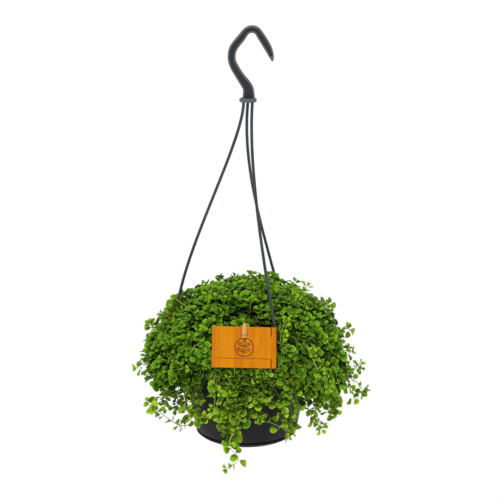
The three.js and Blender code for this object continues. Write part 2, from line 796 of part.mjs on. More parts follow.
// A stem with crossed pairs of leaves and a small shoot at its tip; blocked leaves are left off
function leafyStem(points, bareLength, seed, blockers) {
  const path = new THREE.CurvePath();
  for (let i = 1; i < points.length; i += 1) path.add(new THREE.LineCurve3(points[i - 1], points[i]));
  const length = path.getLength();
  const pieces = [bar(points, TWIG.radius, TWIG.sides)];
  const tipDirection = path.getTangent(1).add(new THREE.Vector3(0, -0.2, 0.45)).normalize();
  const tipCentre = points.at(-1).clone().addScaledVector(tipDirection, 1.6);
  pieces.push(makeShoot(tipCentre, tipDirection, seed, TWIG.tip, 3.2));
  const pairs = Math.floor((length - bareLength - 6) / TWIG.spacing);
  for (let pair = 0; pair < pairs; pair += 1) {
    const place = (bareLength + (pair + 0.5) * TWIG.spacing) / length;
    const centre = path.getPoint(place);
    const tangent = path.getTangent(place);
    for (const half of [0, 1]) {
      const spin = (pair % 2) * (Math.PI / 2) + half * Math.PI + (draw(seed + pair) - 0.5) * 0.5;
      const turn = aim(tangent, spin);
      const upTurn = new THREE.Quaternion().setFromAxisAngle(new THREE.Vector3(0, 1, 0), -0.3);
      const leaf = makeLeaf(centre, turn.multiply(upTurn), 0.9 + 0.15 * draw(seed + pair + half + 20));
      if (!blockers.some((blocker) => touches(blocker, leaf))) pieces.push(leaf);
    }
  }
  return union(pieces);
}

function touches(blocker, solid) {
  return !blocker.intersect(solid).isEmpty();
}

function sideStemPoints([azimuth, fall], index) {
  const drift = (draw(index + 70) - 0.5) * SIDE_DRIFT;
  const way = SIDE_WAY.map(([radius, height, share]) => around(radius, azimuth + drift * share, height));
  return [...way, around(SIDE_TIP_RADIUS, azimuth + drift, -fall)];
}

function trailingStems() {
  const front = FRONT_STEMS.map(({ rim, points }) => ({
    azimuth: rim,
    points: points.map((point) => new THREE.Vector3(...point)),
    bare: STEM.bareInFront,
  }));
  const sides = SIDE_STEMS.map((side, index) => ({
    azimuth: side[0],
    points: sideStemPoints(side, index),
    bare: STEM.bareAtSide,
  }));
  return [...front, ...sides];
}

const group = new THREE.Group();
const potGroup = new THREE.Group();
potGroup.position.set(...POT_CENTRE);
const tagGroup = new THREE.Group();
tagGroup.applyMatrix4(tagMatrix());
group.add(potGroup, tagGroup);

function addPart(parent, name, solid, material) {
  const mesh = new THREE.Mesh(geometryOf(solid), material);
  mesh.name = name;
  parent.add(mesh);
}

const stems = trailingStems();
addPart(group, 'hook', makeHook(), MATERIALS.hanger);
for (const strand of STRANDS) addPart(group, strand.name, makeStrand(strand), MATERIALS.hanger);
addPart(potGroup, 'pot_shell', makePot(), MATERIALS.pot);
addPart(potGroup, 'drip_tray', makeTray(), MATERIALS.pot);
addPart(potGroup, 'potting_soil', makeSoil(stems.map((stem) => stem.azimuth)), MATERIALS.soil);

const crown = makeCrown();
addPart(potGroup, 'leafy_crown', crown, MATERIALS.crown);

// Each trailing stem keeps its leaves clear of the crown, the pot, the tag and earlier stems
const potShift = POT_CENTRE.map((value) => -value);
const tagInPot = new THREE.Matrix4().makeTranslation(...potShift).multiply(tagMatrix());
const tagBox = new THREE.BoxGeometry(
  TAG.width + 2 * GAP,
  TAG.thickness + 2 * PEG.thickness + 4 * GAP,
  TAG.height + 2 * GAP,
);
const tagSpace = solidOf(tagBox.applyMatrix4(tagInPot));
const potSpace = revolve([
  [0, -POT.height - 4],
  [POT.footCentre + 12, -POT.height - 4],
  [wallRadius(footZ, -0.6), footZ],
  [wallRadius(-POT.lipDrop, -0.6), -POT.lipDrop],
  [POT.rimRadius + 0.6, -POT.lipDrop - 0.6],
  [POT.rimRadius + 0.6, 0.6],
  [0, 0.6],
], 24);
const blockers = [crown, tagSpace, potSpace];
stems.forEach((stem, index) => {
  const overRim = STEM.overRim.map(([radius, height]) => around(radius, stem.azimuth, height));
  const points = [...overRim, ...stem.points];
  const solid = mainBody(leafyStem(points, stem.bare, 100 * index, blockers));
  blockers.push(solid);
  const number = String(index + 1).padStart(2, '0');
  addPart(potGroup, `trailing_stem_${number}`, solid, MATERIALS.trailing);
});

addPart(tagGroup, 'wooden_tag', makeTag(), MATERIALS.tag);
addPart(tagGroup, 'peg_front_leg', makePegLeg(-1), MATERIALS.peg);
addPart(tagGroup, 'peg_back_leg', makePegLeg(1), MATERIALS.peg);
addPart(tagGroup, 'peg_spring', makePegSpring(), MATERIALS.wire);

export default group;
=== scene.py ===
"""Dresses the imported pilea: hook, strands, pot, drip tray, plant, wooden tag and its peg.

The classes hold their sizes in millimetres, and a mesh is in metres. The plant and the pot have
their own frame, whose zero height is the top face of the pot's rim.
"""

import logging
import math
from contextlib import contextmanager
from dataclasses import dataclass, field, fields
from enum import Enum
from typing import Any, Iterator, Sequence

import bpy
import numpy as np
from mathutils import Matrix, Vector
from mathutils.kdtree import KDTree


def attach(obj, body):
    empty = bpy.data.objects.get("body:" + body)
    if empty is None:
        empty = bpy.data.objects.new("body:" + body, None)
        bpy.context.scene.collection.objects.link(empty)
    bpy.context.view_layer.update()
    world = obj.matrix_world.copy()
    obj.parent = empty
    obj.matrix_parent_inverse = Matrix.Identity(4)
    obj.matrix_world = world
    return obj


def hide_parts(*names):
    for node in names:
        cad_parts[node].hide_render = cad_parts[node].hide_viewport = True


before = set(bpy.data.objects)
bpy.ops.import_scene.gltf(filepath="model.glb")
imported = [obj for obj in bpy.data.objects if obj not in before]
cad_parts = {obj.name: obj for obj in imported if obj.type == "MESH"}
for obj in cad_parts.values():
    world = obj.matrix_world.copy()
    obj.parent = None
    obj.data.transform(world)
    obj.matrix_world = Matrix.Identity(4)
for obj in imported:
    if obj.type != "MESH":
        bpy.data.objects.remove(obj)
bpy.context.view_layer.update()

MM = 0.001
GAP = 0.35
MERGE = 0.002 * MM
RIM_FLANGE = 1.8
BEVEL_FROM = math.radians(35.0)
TAG_YAW, TAG_LEAN, TAG_ROLL = 8.0, 24.0, 3.7
POT_CENTRE = np.array([-6.0, 0.0, -305.0])
log = logging.getLogger("pilea")

Point = Sequence[float]
Colour = tuple[int, int, int]


def tag_turn() -> Matrix:
    """Returns the wooden tag's turn: its X runs along it and its Z up its face."""
    yaw, lean, roll = (math.radians(angle) for angle in (TAG_YAW, -TAG_LEAN, TAG_ROLL))
    return Matrix.Rotation(yaw, 4, "Z") @ Matrix.Rotation(lean, 4, "X") @ Matrix.Rotation(roll, 4, "Y")


# Shader nodes


def linear(colour: Colour) -> tuple[float, ...]:
    """Turns a screen colour, each part from 0 to 255, into a linear one with full alpha."""
    shares = [channel / 255 for channel in colour]
    return (*(s / 12.92 if s <= 0.04045 else ((s + 0.055) / 1.055) ** 2.4 for s in shares), 1.0)


class Signal:
    """A node's output, on which Python's operators add Math nodes."""

    def __init__(self, board: "Board", socket: bpy.types.NodeSocket) -> None:
        """Wraps an output socket of a board's node."""
        self.board = board
        self.socket = socket

    def __add__(self, other: "Signal | float") -> "Signal":
        """Returns self + other."""
        return self.board.math("ADD", self, other)

    def __radd__(self, other: float) -> "Signal":
        """Returns other + self."""
        return self.board.math("ADD", other, self)

    def __sub__(self, other: "Signal | float") -> "Signal":
        """Returns self - other."""
        return self.board.math("SUBTRACT", self, other)

    def __rsub__(self, other: float) -> "Signal":
        """Returns other - self."""
        return self.board.math("SUBTRACT", other, self)

    def __mul__(self, other: "Signal | float") -> "Signal":
        """Returns self * other."""
        return self.board.math("MULTIPLY", self, other)

    def __rmul__(self, other: float) -> "Signal":
        """Returns other * self."""
        return self.board.math("MULTIPLY", other, self)

    def __abs__(self) -> "Signal":
        """Returns the absolute value."""
        return self.board.math("ABSOLUTE", self)

    def highest(self, other: "Signal") -> "Signal":
        """Returns the larger of this value and another."""
        return self.board.math("MAXIMUM", self, other)

    def between(self, low: float, high: float) -> "Signal":
        """Returns a smooth step from 0 at low to 1 at high."""
        settings = {"interpolation_type": "SMOOTHSTEP"}
        return self.board.out(self.board.node("ShaderNodeMapRange", settings, {0: self, 1: low, 2: high}))


class Board:
    """The node tree of a material or of the sky."""

    def __init__(self, holder: bpy.types.Material | bpy.types.World) -> None:
        """Empties the holder's node tree.

        Args:
            holder: The new material or world.
        """
        holder.use_nodes = True
        self.holder = holder
        self.tree = holder.node_tree
        self.tree.nodes.clear()

    def node(self, kind: str, settings: dict[str, Any], sockets: dict[Any, Any]) -> bpy.types.Node:
        """Adds one node: its settings first, then the values or links of its sockets.

        Args:
            kind: The node's type.
            settings: Its settings.
            sockets: Values or signals by the input's name or index.

        Returns:
            The new node.
        """
        made = self.tree.nodes.new(kind)
        for name, value in settings.items():
            setattr(made, name, value)
        for name, value in sockets.items():
            if isinstance(value, Signal):
                self.tree.links.new(value.socket, made.inputs[name])
            else:
                made.inputs[name].default_value = value
        return made

    def out(self, node: bpy.types.Node, name: Any = 0) -> Signal:
        """Returns one output of a node as a signal."""
        return Signal(self, node.outputs[name])

    def math(self, operation: str, *values: Signal | float) -> Signal:
        """Returns the output of a new Math node."""
        return self.out(self.node("ShaderNodeMath", {"operation": operation}, dict(enumerate(values))))

    def place(self, scale: Point = (1, 1, 1)) -> Signal:
        """Returns the object's coordinates in metres, scaled."""
        coordinates = self.node("ShaderNodeTexCoord", {}, {})
        return self.out(self.node("ShaderNodeMapping", {}, {0: self.out(coordinates, "Object"), 3: scale}))

    def parts(self, vector: Signal) -> list[Signal]:
        """Returns the three parts of a vector."""
        split = self.node("ShaderNodeSeparateXYZ", {}, {0: vector})
        return [self.out(split, index) for index in range(3)]

    def value(self, name: str) -> Signal:
        """Returns a mesh attribute."""
        return self.out(self.node("ShaderNodeAttribute", {"attribute_name": name}, {}), "Fac")

    def noise(
        self, scale: float, detail: float, rough: float = 0.5, vector: Signal | None = None
    ) -> Signal:
        """Returns a noise from 0 to 1, at the object's coordinates or at another vector."""
        sockets = {"Vector": vector or self.place(), "Scale": scale, "Detail": detail, "Roughness": rough}
        return self.out(self.node("ShaderNodeTexNoise", {}, sockets))

    def cells(self, scale: float) -> Signal:
        """Returns the distance from the middles of scattered cells."""
        made = self.node("ShaderNodeTexVoronoi", {}, {"Vector": self.place(), "Scale": scale})
        return self.out(made, "Distance")

    def blend(self, share: Signal | float, first: Signal | Colour, second: Signal | Colour) -> Signal:
        """Mixes two colours.

        Args:
            share: 0 gives the first colour and 1 the second.
            first: A screen colour or a signal.
            second: A screen colour or a signal.

        Returns:
            The mixed colour.
        """
        ends = [end if isinstance(end, Signal) else linear(end) for end in (first, second)]
        made = self.node("ShaderNodeMix", {"data_type": "RGBA"}, {0: share, 6: ends[0], 7: ends[1]})
        return self.out(made, 2)

    def bump(self, height: Signal, depth: float, strength: float) -> Signal:
        """Returns the normal of a relief whose height of 1 measures a depth in metres."""
        sockets = {"Strength": strength, "Distance": depth, "Height": height}
        return self.out(self.node("ShaderNodeBump", {}, sockets))

    def finish(self, sockets: dict[str, Any]) -> bpy.types.Material:
        """Adds the shader and the output.

        Args:
            sockets: Values or signals of the Principled shader.

        Returns:
            The finished material.
        """
        shader = self.node("ShaderNodeBsdfPrincipled", {}, sockets)
        self.node("ShaderNodeOutputMaterial", {}, {0: self.out(shader)})
        return self.holder


def fresh(name: str) -> Board:
    """Returns the empty board of a new material."""
    return Board(bpy.data.materials.new(name))


# Finishes


@dataclass(frozen=True)
class MouldedPlastic:
    """Plastic with a satin skin, faint flow marks and dull spots; a painted highlight makes its raised
    faces paler.
    """

    name: str
    base: Colour
    worn: Colour
    roughness: float = 0.42
    grain: float = 900.0
    gloss: float = 0.4
    # painted highlight: its colour, and the distances in millimetres out from the middle along Y over which
    # raised faces are painted paler
    ridge: Colour | None = None
    ridge_from: float = 1.7
    ridge_to: float = 3.2

    def make(self) -> bpy.types.Material:
        """Makes the material.

        Returns:
            The finished material.
        """
        board = fresh(self.name)
        spread = board.noise(42.0, 4.0)
        flow = board.noise(260.0, 3.0, vector=board.place((1, 1, 0.12)))
        grain = board.noise(self.grain, 2.0)
        colour = board.blend((0.55 * spread + 0.45 * flow).between(0.36, 0.68), self.base, self.worn)
        if self.ridge:
            # painted highlight: faces that stand out to the front and back are painted paler than the
            # recessed web and the narrow sides
            rise = abs(board.parts(board.place())[1]).between(self.ridge_from * MM, self.ridge_to * MM)
            colour = board.blend(rise * (0.9 + 0.2 * (grain - 0.5)), colour, self.ridge)
        return board.finish({
            "Base Color": colour,
            "Roughness": self.roughness + 0.16 * (spread - 0.5) + 0.1 * (grain - 0.5),
            "Specular IOR Level": self.gloss,
            "Normal": board.bump(0.7 * grain + 0.3 * flow, 0.00012, 0.5),
        })


@dataclass(frozen=True)
class LeafBlade:
    """A leaf's skin: its tone, its veins and its paler underside come with the blade's own map. Its colour
    also holds painted shade, on shaded leaves and towards each leaf's base, and a painted highlight on the
    rim.
    """

    name: str
    # shaded is a painted shade colour and full a painted lit colour of the same leaf; the tone attribute
    # blends them
    shaded: Colour
    full: Colour
    young: Colour
    vein: Colour
    underside: Colour
    # rim: strength of the pale rim, partly the leaf's paler margin and partly a painted highlight
    rim: float = 0.8
    gloss: float = 0.05

    def make(self) -> bpy.types.Material:
        """Makes the material.

        Returns:
            The finished material.
        """
        board = fresh(self.name)
        sway = board.noise(26.0, 2.0)
        tone = board.value("tone")
        along, across, _ = board.parts(board.out(board.node("ShaderNodeUVMap", {"uv_map": "blade"}, {})))
        across = abs(across - 0.5)
        under = along.between(1.15, 1.25)
        reach = (along - 0.45) * 1.9
        aside = across * 2.2
        # pale rim on the outer half: partly the leaf's paler margin, partly a painted highlight
        rim = (reach * reach + aside * aside).between(0.72, 1.05) * along.between(0.2, 0.5)
        middle = 1.0 - along.between(0.1, 0.62)
        midrib = 1.0 - across.between(0.0, 0.05)
        arch = abs(across - 0.30 * (along - 0.1).between(0.0, 0.75))
        veins = midrib.highest(0.6 * (1.0 - arch.between(0.0, 0.05)))
        puckers = board.noise(620.0, 2.0)
        # painted shade: the tone attribute, lowered for deeper and shaded leaves and varied at random,
        # blends from the shaded to the lit colour
        body = board.blend((0.95 * tone + 0.5 * (sway - 0.5)).between(0.0, 0.95), self.shaded, self.full)
        body = board.blend(board.value("youth"), body, self.young)
        # painted shade: the leaf is painted darker towards its base, where the rosette shades it
        body = board.blend(0.82 * middle, body, self.shaded)
        # painted highlight: the rim is paler on leaves whose tone is painted lit
        pale = (0.3 * veins).highest(self.rim * rim) * (0.25 + 0.75 * tone)
        upper = board.blend(pale, body, self.vein)
        upper = board.blend(0.4 * puckers.between(0.5, 0.72), upper, self.shaded)
        return board.finish({
            "Base Color": board.blend(0.5 * under, upper, self.underside),
            "Roughness": 0.46 + 0.2 * (puckers - 0.5) + 0.25 * under,
            "Specular IOR Level": self.gloss,
            "Normal": board.bump(0.5 * puckers + 0.5 * (1.0 - veins), 0.0003, 0.6),
        })


@dataclass(frozen=True)
class LeafStalk:
    """A soft stem, pale green with brownish-red stretches."""

    name: str
    pale: Colour
    fresh: Colour
    brown: Colour

    def make(self) -> bpy.types.Material:
        """Makes the material.

        Returns:
            The finished material.
        """
        board = fresh(self.name)
        tone = board.value("tone")
        fibre = board.noise(1500.0, 2.0, vector=board.place((1, 1, 0.25)))
        ripe = (tone + 0.4 * (board.noise(60.0, 2.0) - 0.5)).between(0.15, 0.45)
        green = board.blend(ripe, self.fresh, self.pale)
        return board.finish({
            "Base Color": board.blend(0.85 * tone.between(0.78, 0.9), green, self.brown),
            "Roughness": 0.5 + 0.2 * (fibre - 0.5),
            "Normal": board.bump(fibre, 0.0002, 0.5),
        })


@dataclass(frozen=True)
class ShadedTwigs:
    """A dark sheet of painted shade for the inside of the plant, where only hints of leaves and twigs show.
    """

    name: str
    dark: Colour
    green: Colour
    twig: Colour

    def make(self) -> bpy.types.Material:
        """Makes the material.

        Returns:
            The finished material.
        """
        board = fresh(self.name)
        cells = board.cells(150.0)
        strands = board.noise(240.0, 4.0, 0.7, board.place((1, 1, 0.3)))
        colour = board.blend(cells.between(0.15, 0.6), self.green, self.dark)
        return board.finish({
            "Base Color": board.blend(0.6 * strands.between(0.6, 0.7), colour, self.twig),
            "Roughness": 0.8 + 0.15 * (strands - 0.5),
            "Normal": board.bump(0.6 * cells + 0.4 * strands, 0.003, 1.0),
        })


@dataclass(frozen=True)
class PottingMix:
    """Peaty soil with lighter crumbs."""

    name: str
    peat: Colour
    crumb: Colour
    grit: Colour

    def make(self) -> bpy.types.Material:
        """Makes the material.

        Returns:
            The finished material.
        """
        board = fresh(self.name)
        fine = board.noise(900.0, 5.0, 0.7)
        earth = board.blend(fine.between(0.35, 0.65), self.peat, self.crumb)
        return board.finish({
            "Base Color": board.blend(board.noise(210.0, 2.0).between(0.66, 0.7), earth, self.grit),
            "Roughness": 0.92 + 0.08 * (fine - 0.5),
            "Normal": board.bump(0.5 * board.cells(380.0) + 0.5 * fine, 0.0015, 1.0),
        })


@dataclass(frozen=True)
class Veneer:
    """Wood with a fine grain that runs up the slanted tag."""

    name: str
    light: Colour
    mid: Colour
    streak: Colour
    pitch: float
    roughness: float
    stretch: float = 30.0

    def lie(self, board: Board) -> Signal:
        """Draws the coordinates out along the tag's upright.

        Args:
            board: The material's board.

        Returns:
            The coordinates.
        """
        coordinates = board.out(board.node("ShaderNodeTexCoord", {}, {}), "Object")
        sockets = {0: coordinates, 2: tuple(tag_turn().to_euler()), 3: (1, 1, self.stretch)}
        return board.out(board.node("ShaderNodeMapping", {"vector_type": "TEXTURE"}, sockets))

    def make(self) -> bpy.types.Material:
        """Makes the material.

        Returns:
            The finished material.
        """
        board = fresh(self.name)
        lie = self.lie(board)
        grain = board.noise(self.pitch, 4.0, 0.62, lie)
        pores = board.noise(self.pitch * 2.6, 2.0, vector=lie)
        broad = board.noise(self.pitch * 0.14, 2.0, vector=lie)
        wood = board.blend(broad.between(0.36, 0.66), self.light, self.mid)
        wood = board.blend(0.6 * grain.between(0.48, 0.74), wood, self.streak)
        return board.finish({
            "Base Color": board.blend(0.4 * pores.between(0.58, 0.72), wood, self.streak),
            "Roughness": self.roughness + 0.2 * (grain - 0.5),
            "Specular IOR Level": 0.1,
            "Normal": board.bump(0.6 * grain + 0.4 * pores, 0.00018, 0.5),
        })


@dataclass(frozen=True)
class ScorchedWood:
    """Wood browned along a cut or an engraved line."""

    name: str
    brown: Colour
    char: Colour

    def make(self) -> bpy.types.Material:
        """Makes the material.

        Returns:
            The finished material.
        """
        board = fresh(self.name)
        soot = board.noise(1400.0, 4.0, 0.7)
        return board.finish({
            "Base Color": board.blend(soot.between(0.4, 0.65), self.brown, self.char),
            "Roughness": 0.75 + 0.2 * (soot - 0.5),
            "Normal": board.bump(soot, 0.0002, 0.6),
        })


@dataclass(frozen=True)
class DrawnWire:
    """Bright steel wire with fine drawing marks."""

    name: str
    bright: Colour
    dull: Colour

    def make(self) -> bpy.types.Material:
        """Makes the material.

        Returns:
            The finished material.
        """
        board = fresh(self.name)
        marks = board.noise(2400.0, 3.0, 0.6)
        return board.finish({
            "Base Color": board.blend(board.noise(500.0, 2.0).between(0.4, 0.7), self.bright, self.dull),
            "Metallic": 1.0,
            "Roughness": 0.3 + 0.25 * (marks - 0.5),
            "Normal": board.bump(marks, 0.00005, 0.4),
        })


@dataclass(frozen=True)
class StudioFloor:
    """A plain pale floor."""

    name: str
    pale: Colour
    paler: Colour

    def make(self) -> bpy.types.Material:
        """Makes the material.

        Returns:
            The finished material.
        """
        board = fresh(self.name)
        colour = board.blend(board.noise(2.0, 2.0), self.pale, self.paler)
        return board.finish({"Base Color": colour, "Roughness": 0.9})


class Finish(Enum):
    """The finishes of the object."""

    HANGER = MouldedPlastic("hanger plastic", (36, 43, 47), (56, 64, 68), 0.4)
    # the hook's pale third colour is a painted highlight on its raised ribs and faces
    HOOK = MouldedPlastic("hook plastic", (24, 30, 34), (30, 37, 41), ridge=(88, 93, 96))
    POT = MouldedPlastic("pot plastic", (29, 29, 30), (40, 39, 38), 0.55, 1400.0, 0.14)
    # the tray's plastic is the pot's plastic painted lighter, to lift the shade under the pot's foot
    TRAY = MouldedPlastic("tray plastic", (34, 34, 35), (46, 45, 46), 0.55, 1400.0, 0.14)
    CROWN = LeafBlade(
        "crown leaf", (2, 38, 0), (74, 144, 0), (134, 188, 8), (192, 222, 92), (76, 132, 14),
    )
    TRAILING = LeafBlade(
        "trailing leaf", (6, 42, 0), (88, 151, 0), (166, 208, 20), (206, 230, 100), (92, 140, 14),
    )
    STALK = LeafStalk("leaf stalk", (188, 202, 92), (84, 122, 18), (124, 80, 46))
    # the plant's inside is painted dark as shade
    INSIDE = ShadedTwigs("shaded twigs", (8, 14, 2), (24, 44, 6), (46, 36, 18))
    SOIL = PottingMix("potting mix", (30, 22, 16), (70, 52, 38), (150, 138, 120))
    TAG = Veneer("tag veneer", (210, 131, 0), (198, 115, 0), (150, 70, 0), 1300.0, 0.6)
    PEG = Veneer("peg wood", (214, 166, 98), (194, 140, 76), (150, 98, 48), 1000.0, 0.65)
    SCORCH = ScorchedWood("scorched wood", (124, 54, 0), (84, 36, 0))
    WIRE = DrawnWire("spring wire", (196, 198, 200), (140, 142, 146))
    FLOOR = StudioFloor("studio floor", (253, 253, 253), (255, 255, 255))


MADE: dict[Finish, bpy.types.Material] = {}


def material(finish: Finish) -> bpy.types.Material:
    """Gets a finish's material, which is made on first use.

    Args:
        finish: The finish.

    Returns:
        Its material.
    """
    if finish not in MADE:
        MADE[finish] = finish.value.make()
    return MADE[finish]


# Modelling steps that several pieces share


class Bench:
    """Steps of modelling by hand, as operators on one piece at a time."""

    @staticmethod
    def clear() -> None:
        """Deselects everything."""
        bpy.ops.object.select_all(action="DESELECT")

    @staticmethod
    def hold(piece: bpy.types.Object) -> None:
        """Selects one piece alone and makes it active.

        Args:
            piece: The piece.
        """
        Bench.clear()
        piece.select_set(True)
        bpy.context.view_layer.objects.active = piece

    @staticmethod
    @contextmanager
    def editing() -> Iterator[None]:
        """Keeps the active piece in edit mode for the lines of a with block.

        Returns:
            The context of the block.
        """
        bpy.ops.object.mode_set(mode="EDIT")
        yield
        bpy.ops.object.mode_set(mode="OBJECT")

    @staticmethod
    def chain(points: Sequence[Point]) -> bpy.types.Object:
        """Draws a chain of edges by extruding one vertex from point to point.

        Args:
            points: The chain's points in millimetres.

        Returns:
            The new piece, whose edges are all selected.
        """
        Bench.clear()
        bpy.ops.mesh.primitive_plane_add(size=MM)
        places = [Vector(point) * MM for point in points]
        with Bench.editing():
            bpy.ops.mesh.merge(type="CENTER")
            bpy.ops.transform.translate(value=places[0])
            for start, end in zip(places, places[1:]):
                bpy.ops.mesh.extrude_vertices_move(TRANSFORM_OT_translate={"value": end - start})
            bpy.ops.mesh.select_all(action="SELECT")
        return bpy.context.object

    @staticmethod
    def extrude(move: Point) -> None:
        """Extrudes the selected faces by a move in metres, in edit mode."""
        bpy.ops.mesh.extrude_region_move(TRANSFORM_OT_translate={"value": move})

    @staticmethod
    def tidy() -> None:
        """Merges doubles and points the faces outwards, in edit mode."""
        bpy.ops.mesh.select_all(action="SELECT")
        bpy.ops.mesh.remove_doubles(threshold=MERGE)
        bpy.ops.mesh.delete_loose()
        bpy.ops.mesh.select_all(action="SELECT")
        bpy.ops.mesh.normals_make_consistent(inside=False)

    @staticmethod
    def turned(profile: Sequence[Point], centre: Point, steps: int) -> bpy.types.Object:
        """Turns a closed profile about an upright axis.

        Args:
            profile: Radius and height pairs in millimetres, the last like the first.
            centre: The axis, whose height is the profile's zero.
            steps: Facets round the axis.

        Returns:
            The turned piece.
        """
        x, y, z = centre
        piece = Bench.chain([(x + radius, y, z + height) for radius, height in profile])
        middle = Vector(centre) * MM
        with Bench.editing():
            bpy.ops.mesh.spin(steps=steps, angle=2 * math.pi, center=middle, axis=(0, 0, 1))
            Bench.tidy()
        return piece

    @staticmethod
    def plate(outline: Sequence[Point], middle: float, thickness: float) -> bpy.types.Object:
        """Fills an outline in X and Z and gives it thickness along Y.

        Args:
            outline: Corner points as x and z in millimetres.
            middle: The middle of the plate along Y.
            thickness: The plate's thickness.

        Returns:
            The closed plate.
        """
        front = middle - thickness / 2
        piece = Bench.chain([(x, front, z) for x, z in [*outline, outline[0]]])
        with Bench.editing():
            bpy.ops.mesh.remove_doubles(threshold=MERGE)
            bpy.ops.mesh.edge_face_add()
            Bench.extrude((0, thickness * MM, 0))
            Bench.tidy()
        return piece

    @staticmethod
    def rod(points: Sequence[Point], radius: float, sides: int) -> bpy.types.Object:
        """Makes a closed round rod along points, or a ring where the last is the first.

        Args:
            points: The rod's centre line in millimetres.
            radius: The rod's radius.
            sides: How fine its round section is.

        Returns:
            The rod as a mesh.
        """
        Bench.chain(points)
        with Bench.editing():
            bpy.ops.mesh.remove_doubles(threshold=MERGE)
        bpy.ops.object.convert(target="CURVE")
        curve = bpy.context.object.data
        curve.dimensions = "3D"
        curve.bevel_depth = radius * MM
        curve.bevel_resolution = sides
        curve.use_fill_caps = True
        bpy.ops.object.convert(target="MESH")
        with Bench.editing():
            Bench.tidy()
        return bpy.context.object

    @staticmethod
    def modify(piece: bpy.types.Object, kind: str, **settings: Any) -> None:
        """Adds a modifier to a piece and applies it.

        Args:
            piece: The piece to change.
            kind: The modifier's type.
            **settings: The modifier's settings.
        """
        Bench.hold(piece)
        bpy.ops.object.modifier_add(type=kind)
        modifier = piece.modifiers[-1]
        for name, value in settings.items():
            setattr(modifier, name, value)
        bpy.ops.object.modifier_apply(modifier=modifier.name)

    @staticmethod
    def combine(piece: bpy.types.Object, tool: bpy.types.Object, operation: str) -> None:
        """Joins a tool's volume to a piece or cuts it away, and removes the tool.

        Args:
            piece: The piece to change.
            tool: The closed mesh that changes it, whose own finish shows where it cuts.
            operation: UNION or DIFFERENCE.
        """
        mode = "TRANSFER" if tool.data.materials else "INDEX"
        Bench.modify(piece, "BOOLEAN", operation=operation, object=tool, solver="EXACT", material_mode=mode)
        bpy.data.objects.remove(tool)

    @staticmethod
    def bore(piece: bpy.types.Object, radius: float, bottom: float, top: float, centre: Point) -> None:
        """Cuts an upright round hole.

        Args:
            piece: The piece to change.
            radius: The hole's radius in millimetres.
            bottom: Its lower end.
            top: Its upper end.
            centre: Its place in X and Y.
        """
        Bench.clear()
        place = Vector((centre[0], centre[1], (top + bottom) / 2)) * MM
        depth = (top - bottom) * MM
        bpy.ops.mesh.primitive_cylinder_add(vertices=24, radius=radius * MM, depth=depth, location=place)
        Bench.combine(piece, bpy.context.object, "DIFFERENCE")

    @staticmethod
    def round_edges(piece: bpy.types.Object, width: float) -> None:
        """Rounds the sharp edges of a piece by a width in millimetres."""
        limit = {"limit_method": "ANGLE", "angle_limit": BEVEL_FROM}
        Bench.modify(piece, "BEVEL", width=width * MM, segments=2, **limit)

    @staticmethod
    def smooth(piece: bpy.types.Object, angle: float = 32.0) -> None:
        """Shades a piece smooth except at edges sharper than an angle in degrees."""
        Bench.hold(piece)
        bpy.ops.object.shade_smooth_by_angle(angle=math.radians(angle))

    @staticmethod
    def settle(piece: bpy.types.Object) -> None:
        """Puts a piece's place and turn into its mesh."""
        Bench.hold(piece)
        bpy.ops.object.transform_apply(location=True, rotation=True, scale=True)

    @staticmethod
    def deliver(
        piece: bpy.types.Object, name: str, slot: str, finish: Finish | None, *nodes: str
    ) -> None:
        """Names and paints a finished piece, hangs it under the root body and hides the nodes that it
        stands for.

        Args:
            piece: The finished piece.
            name: Its name.
            slot: The record's material slot; it is not used.
            finish: Its finish, or None where it has one already.
            *nodes: The frame's nodes that it stands for.
        """
        Bench.settle(piece)
        piece.name = piece.data.name = name
        if finish:
            piece.data.materials.append(material(finish))
        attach(piece, "root")
        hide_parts(*nodes)
        log.info("%s: %d faces", name, len(piece.data.polygons))


def around(radius: float, azimuth: float, height: float) -> np.ndarray:
    """Returns a point of the pot's frame from its radius, its azimuth in degrees and its height."""
    turn = math.radians(azimuth)
    return np.array([radius * math.sin(turn), -radius * math.cos(turn), height])


def spline(points: Sequence[Point], steps: int) -> np.ndarray:
    """Runs a smooth line through points.

    Args:
        points: Points to pass, as rows.
        steps: Steps between two points.

    Returns:
        The line's points as rows.
    """
    rows = np.asarray(points, float)
    padded = np.vstack([2 * rows[0] - rows[1], rows, 2 * rows[-1] - rows[-2]])
    line = []
    for before, start, end, after in zip(padded, padded[1:], padded[2:], padded[3:]):
        for step in range(steps):
            t = step / steps
            line.append(0.5 * (
                2 * start + (end - before) * t
                + (2 * before - 5 * start + 4 * end - after) * t**2
                + (3 * start - before - 3 * end + after) * t**3
            ))
    return np.array([*line, rows[-1]])


def unit(rows: np.ndarray) -> np.ndarray:
    """Returns rows with length 1."""
    return rows / np.maximum(np.linalg.norm(rows, axis=-1, keepdims=True), 1e-9)


# Hook and strands


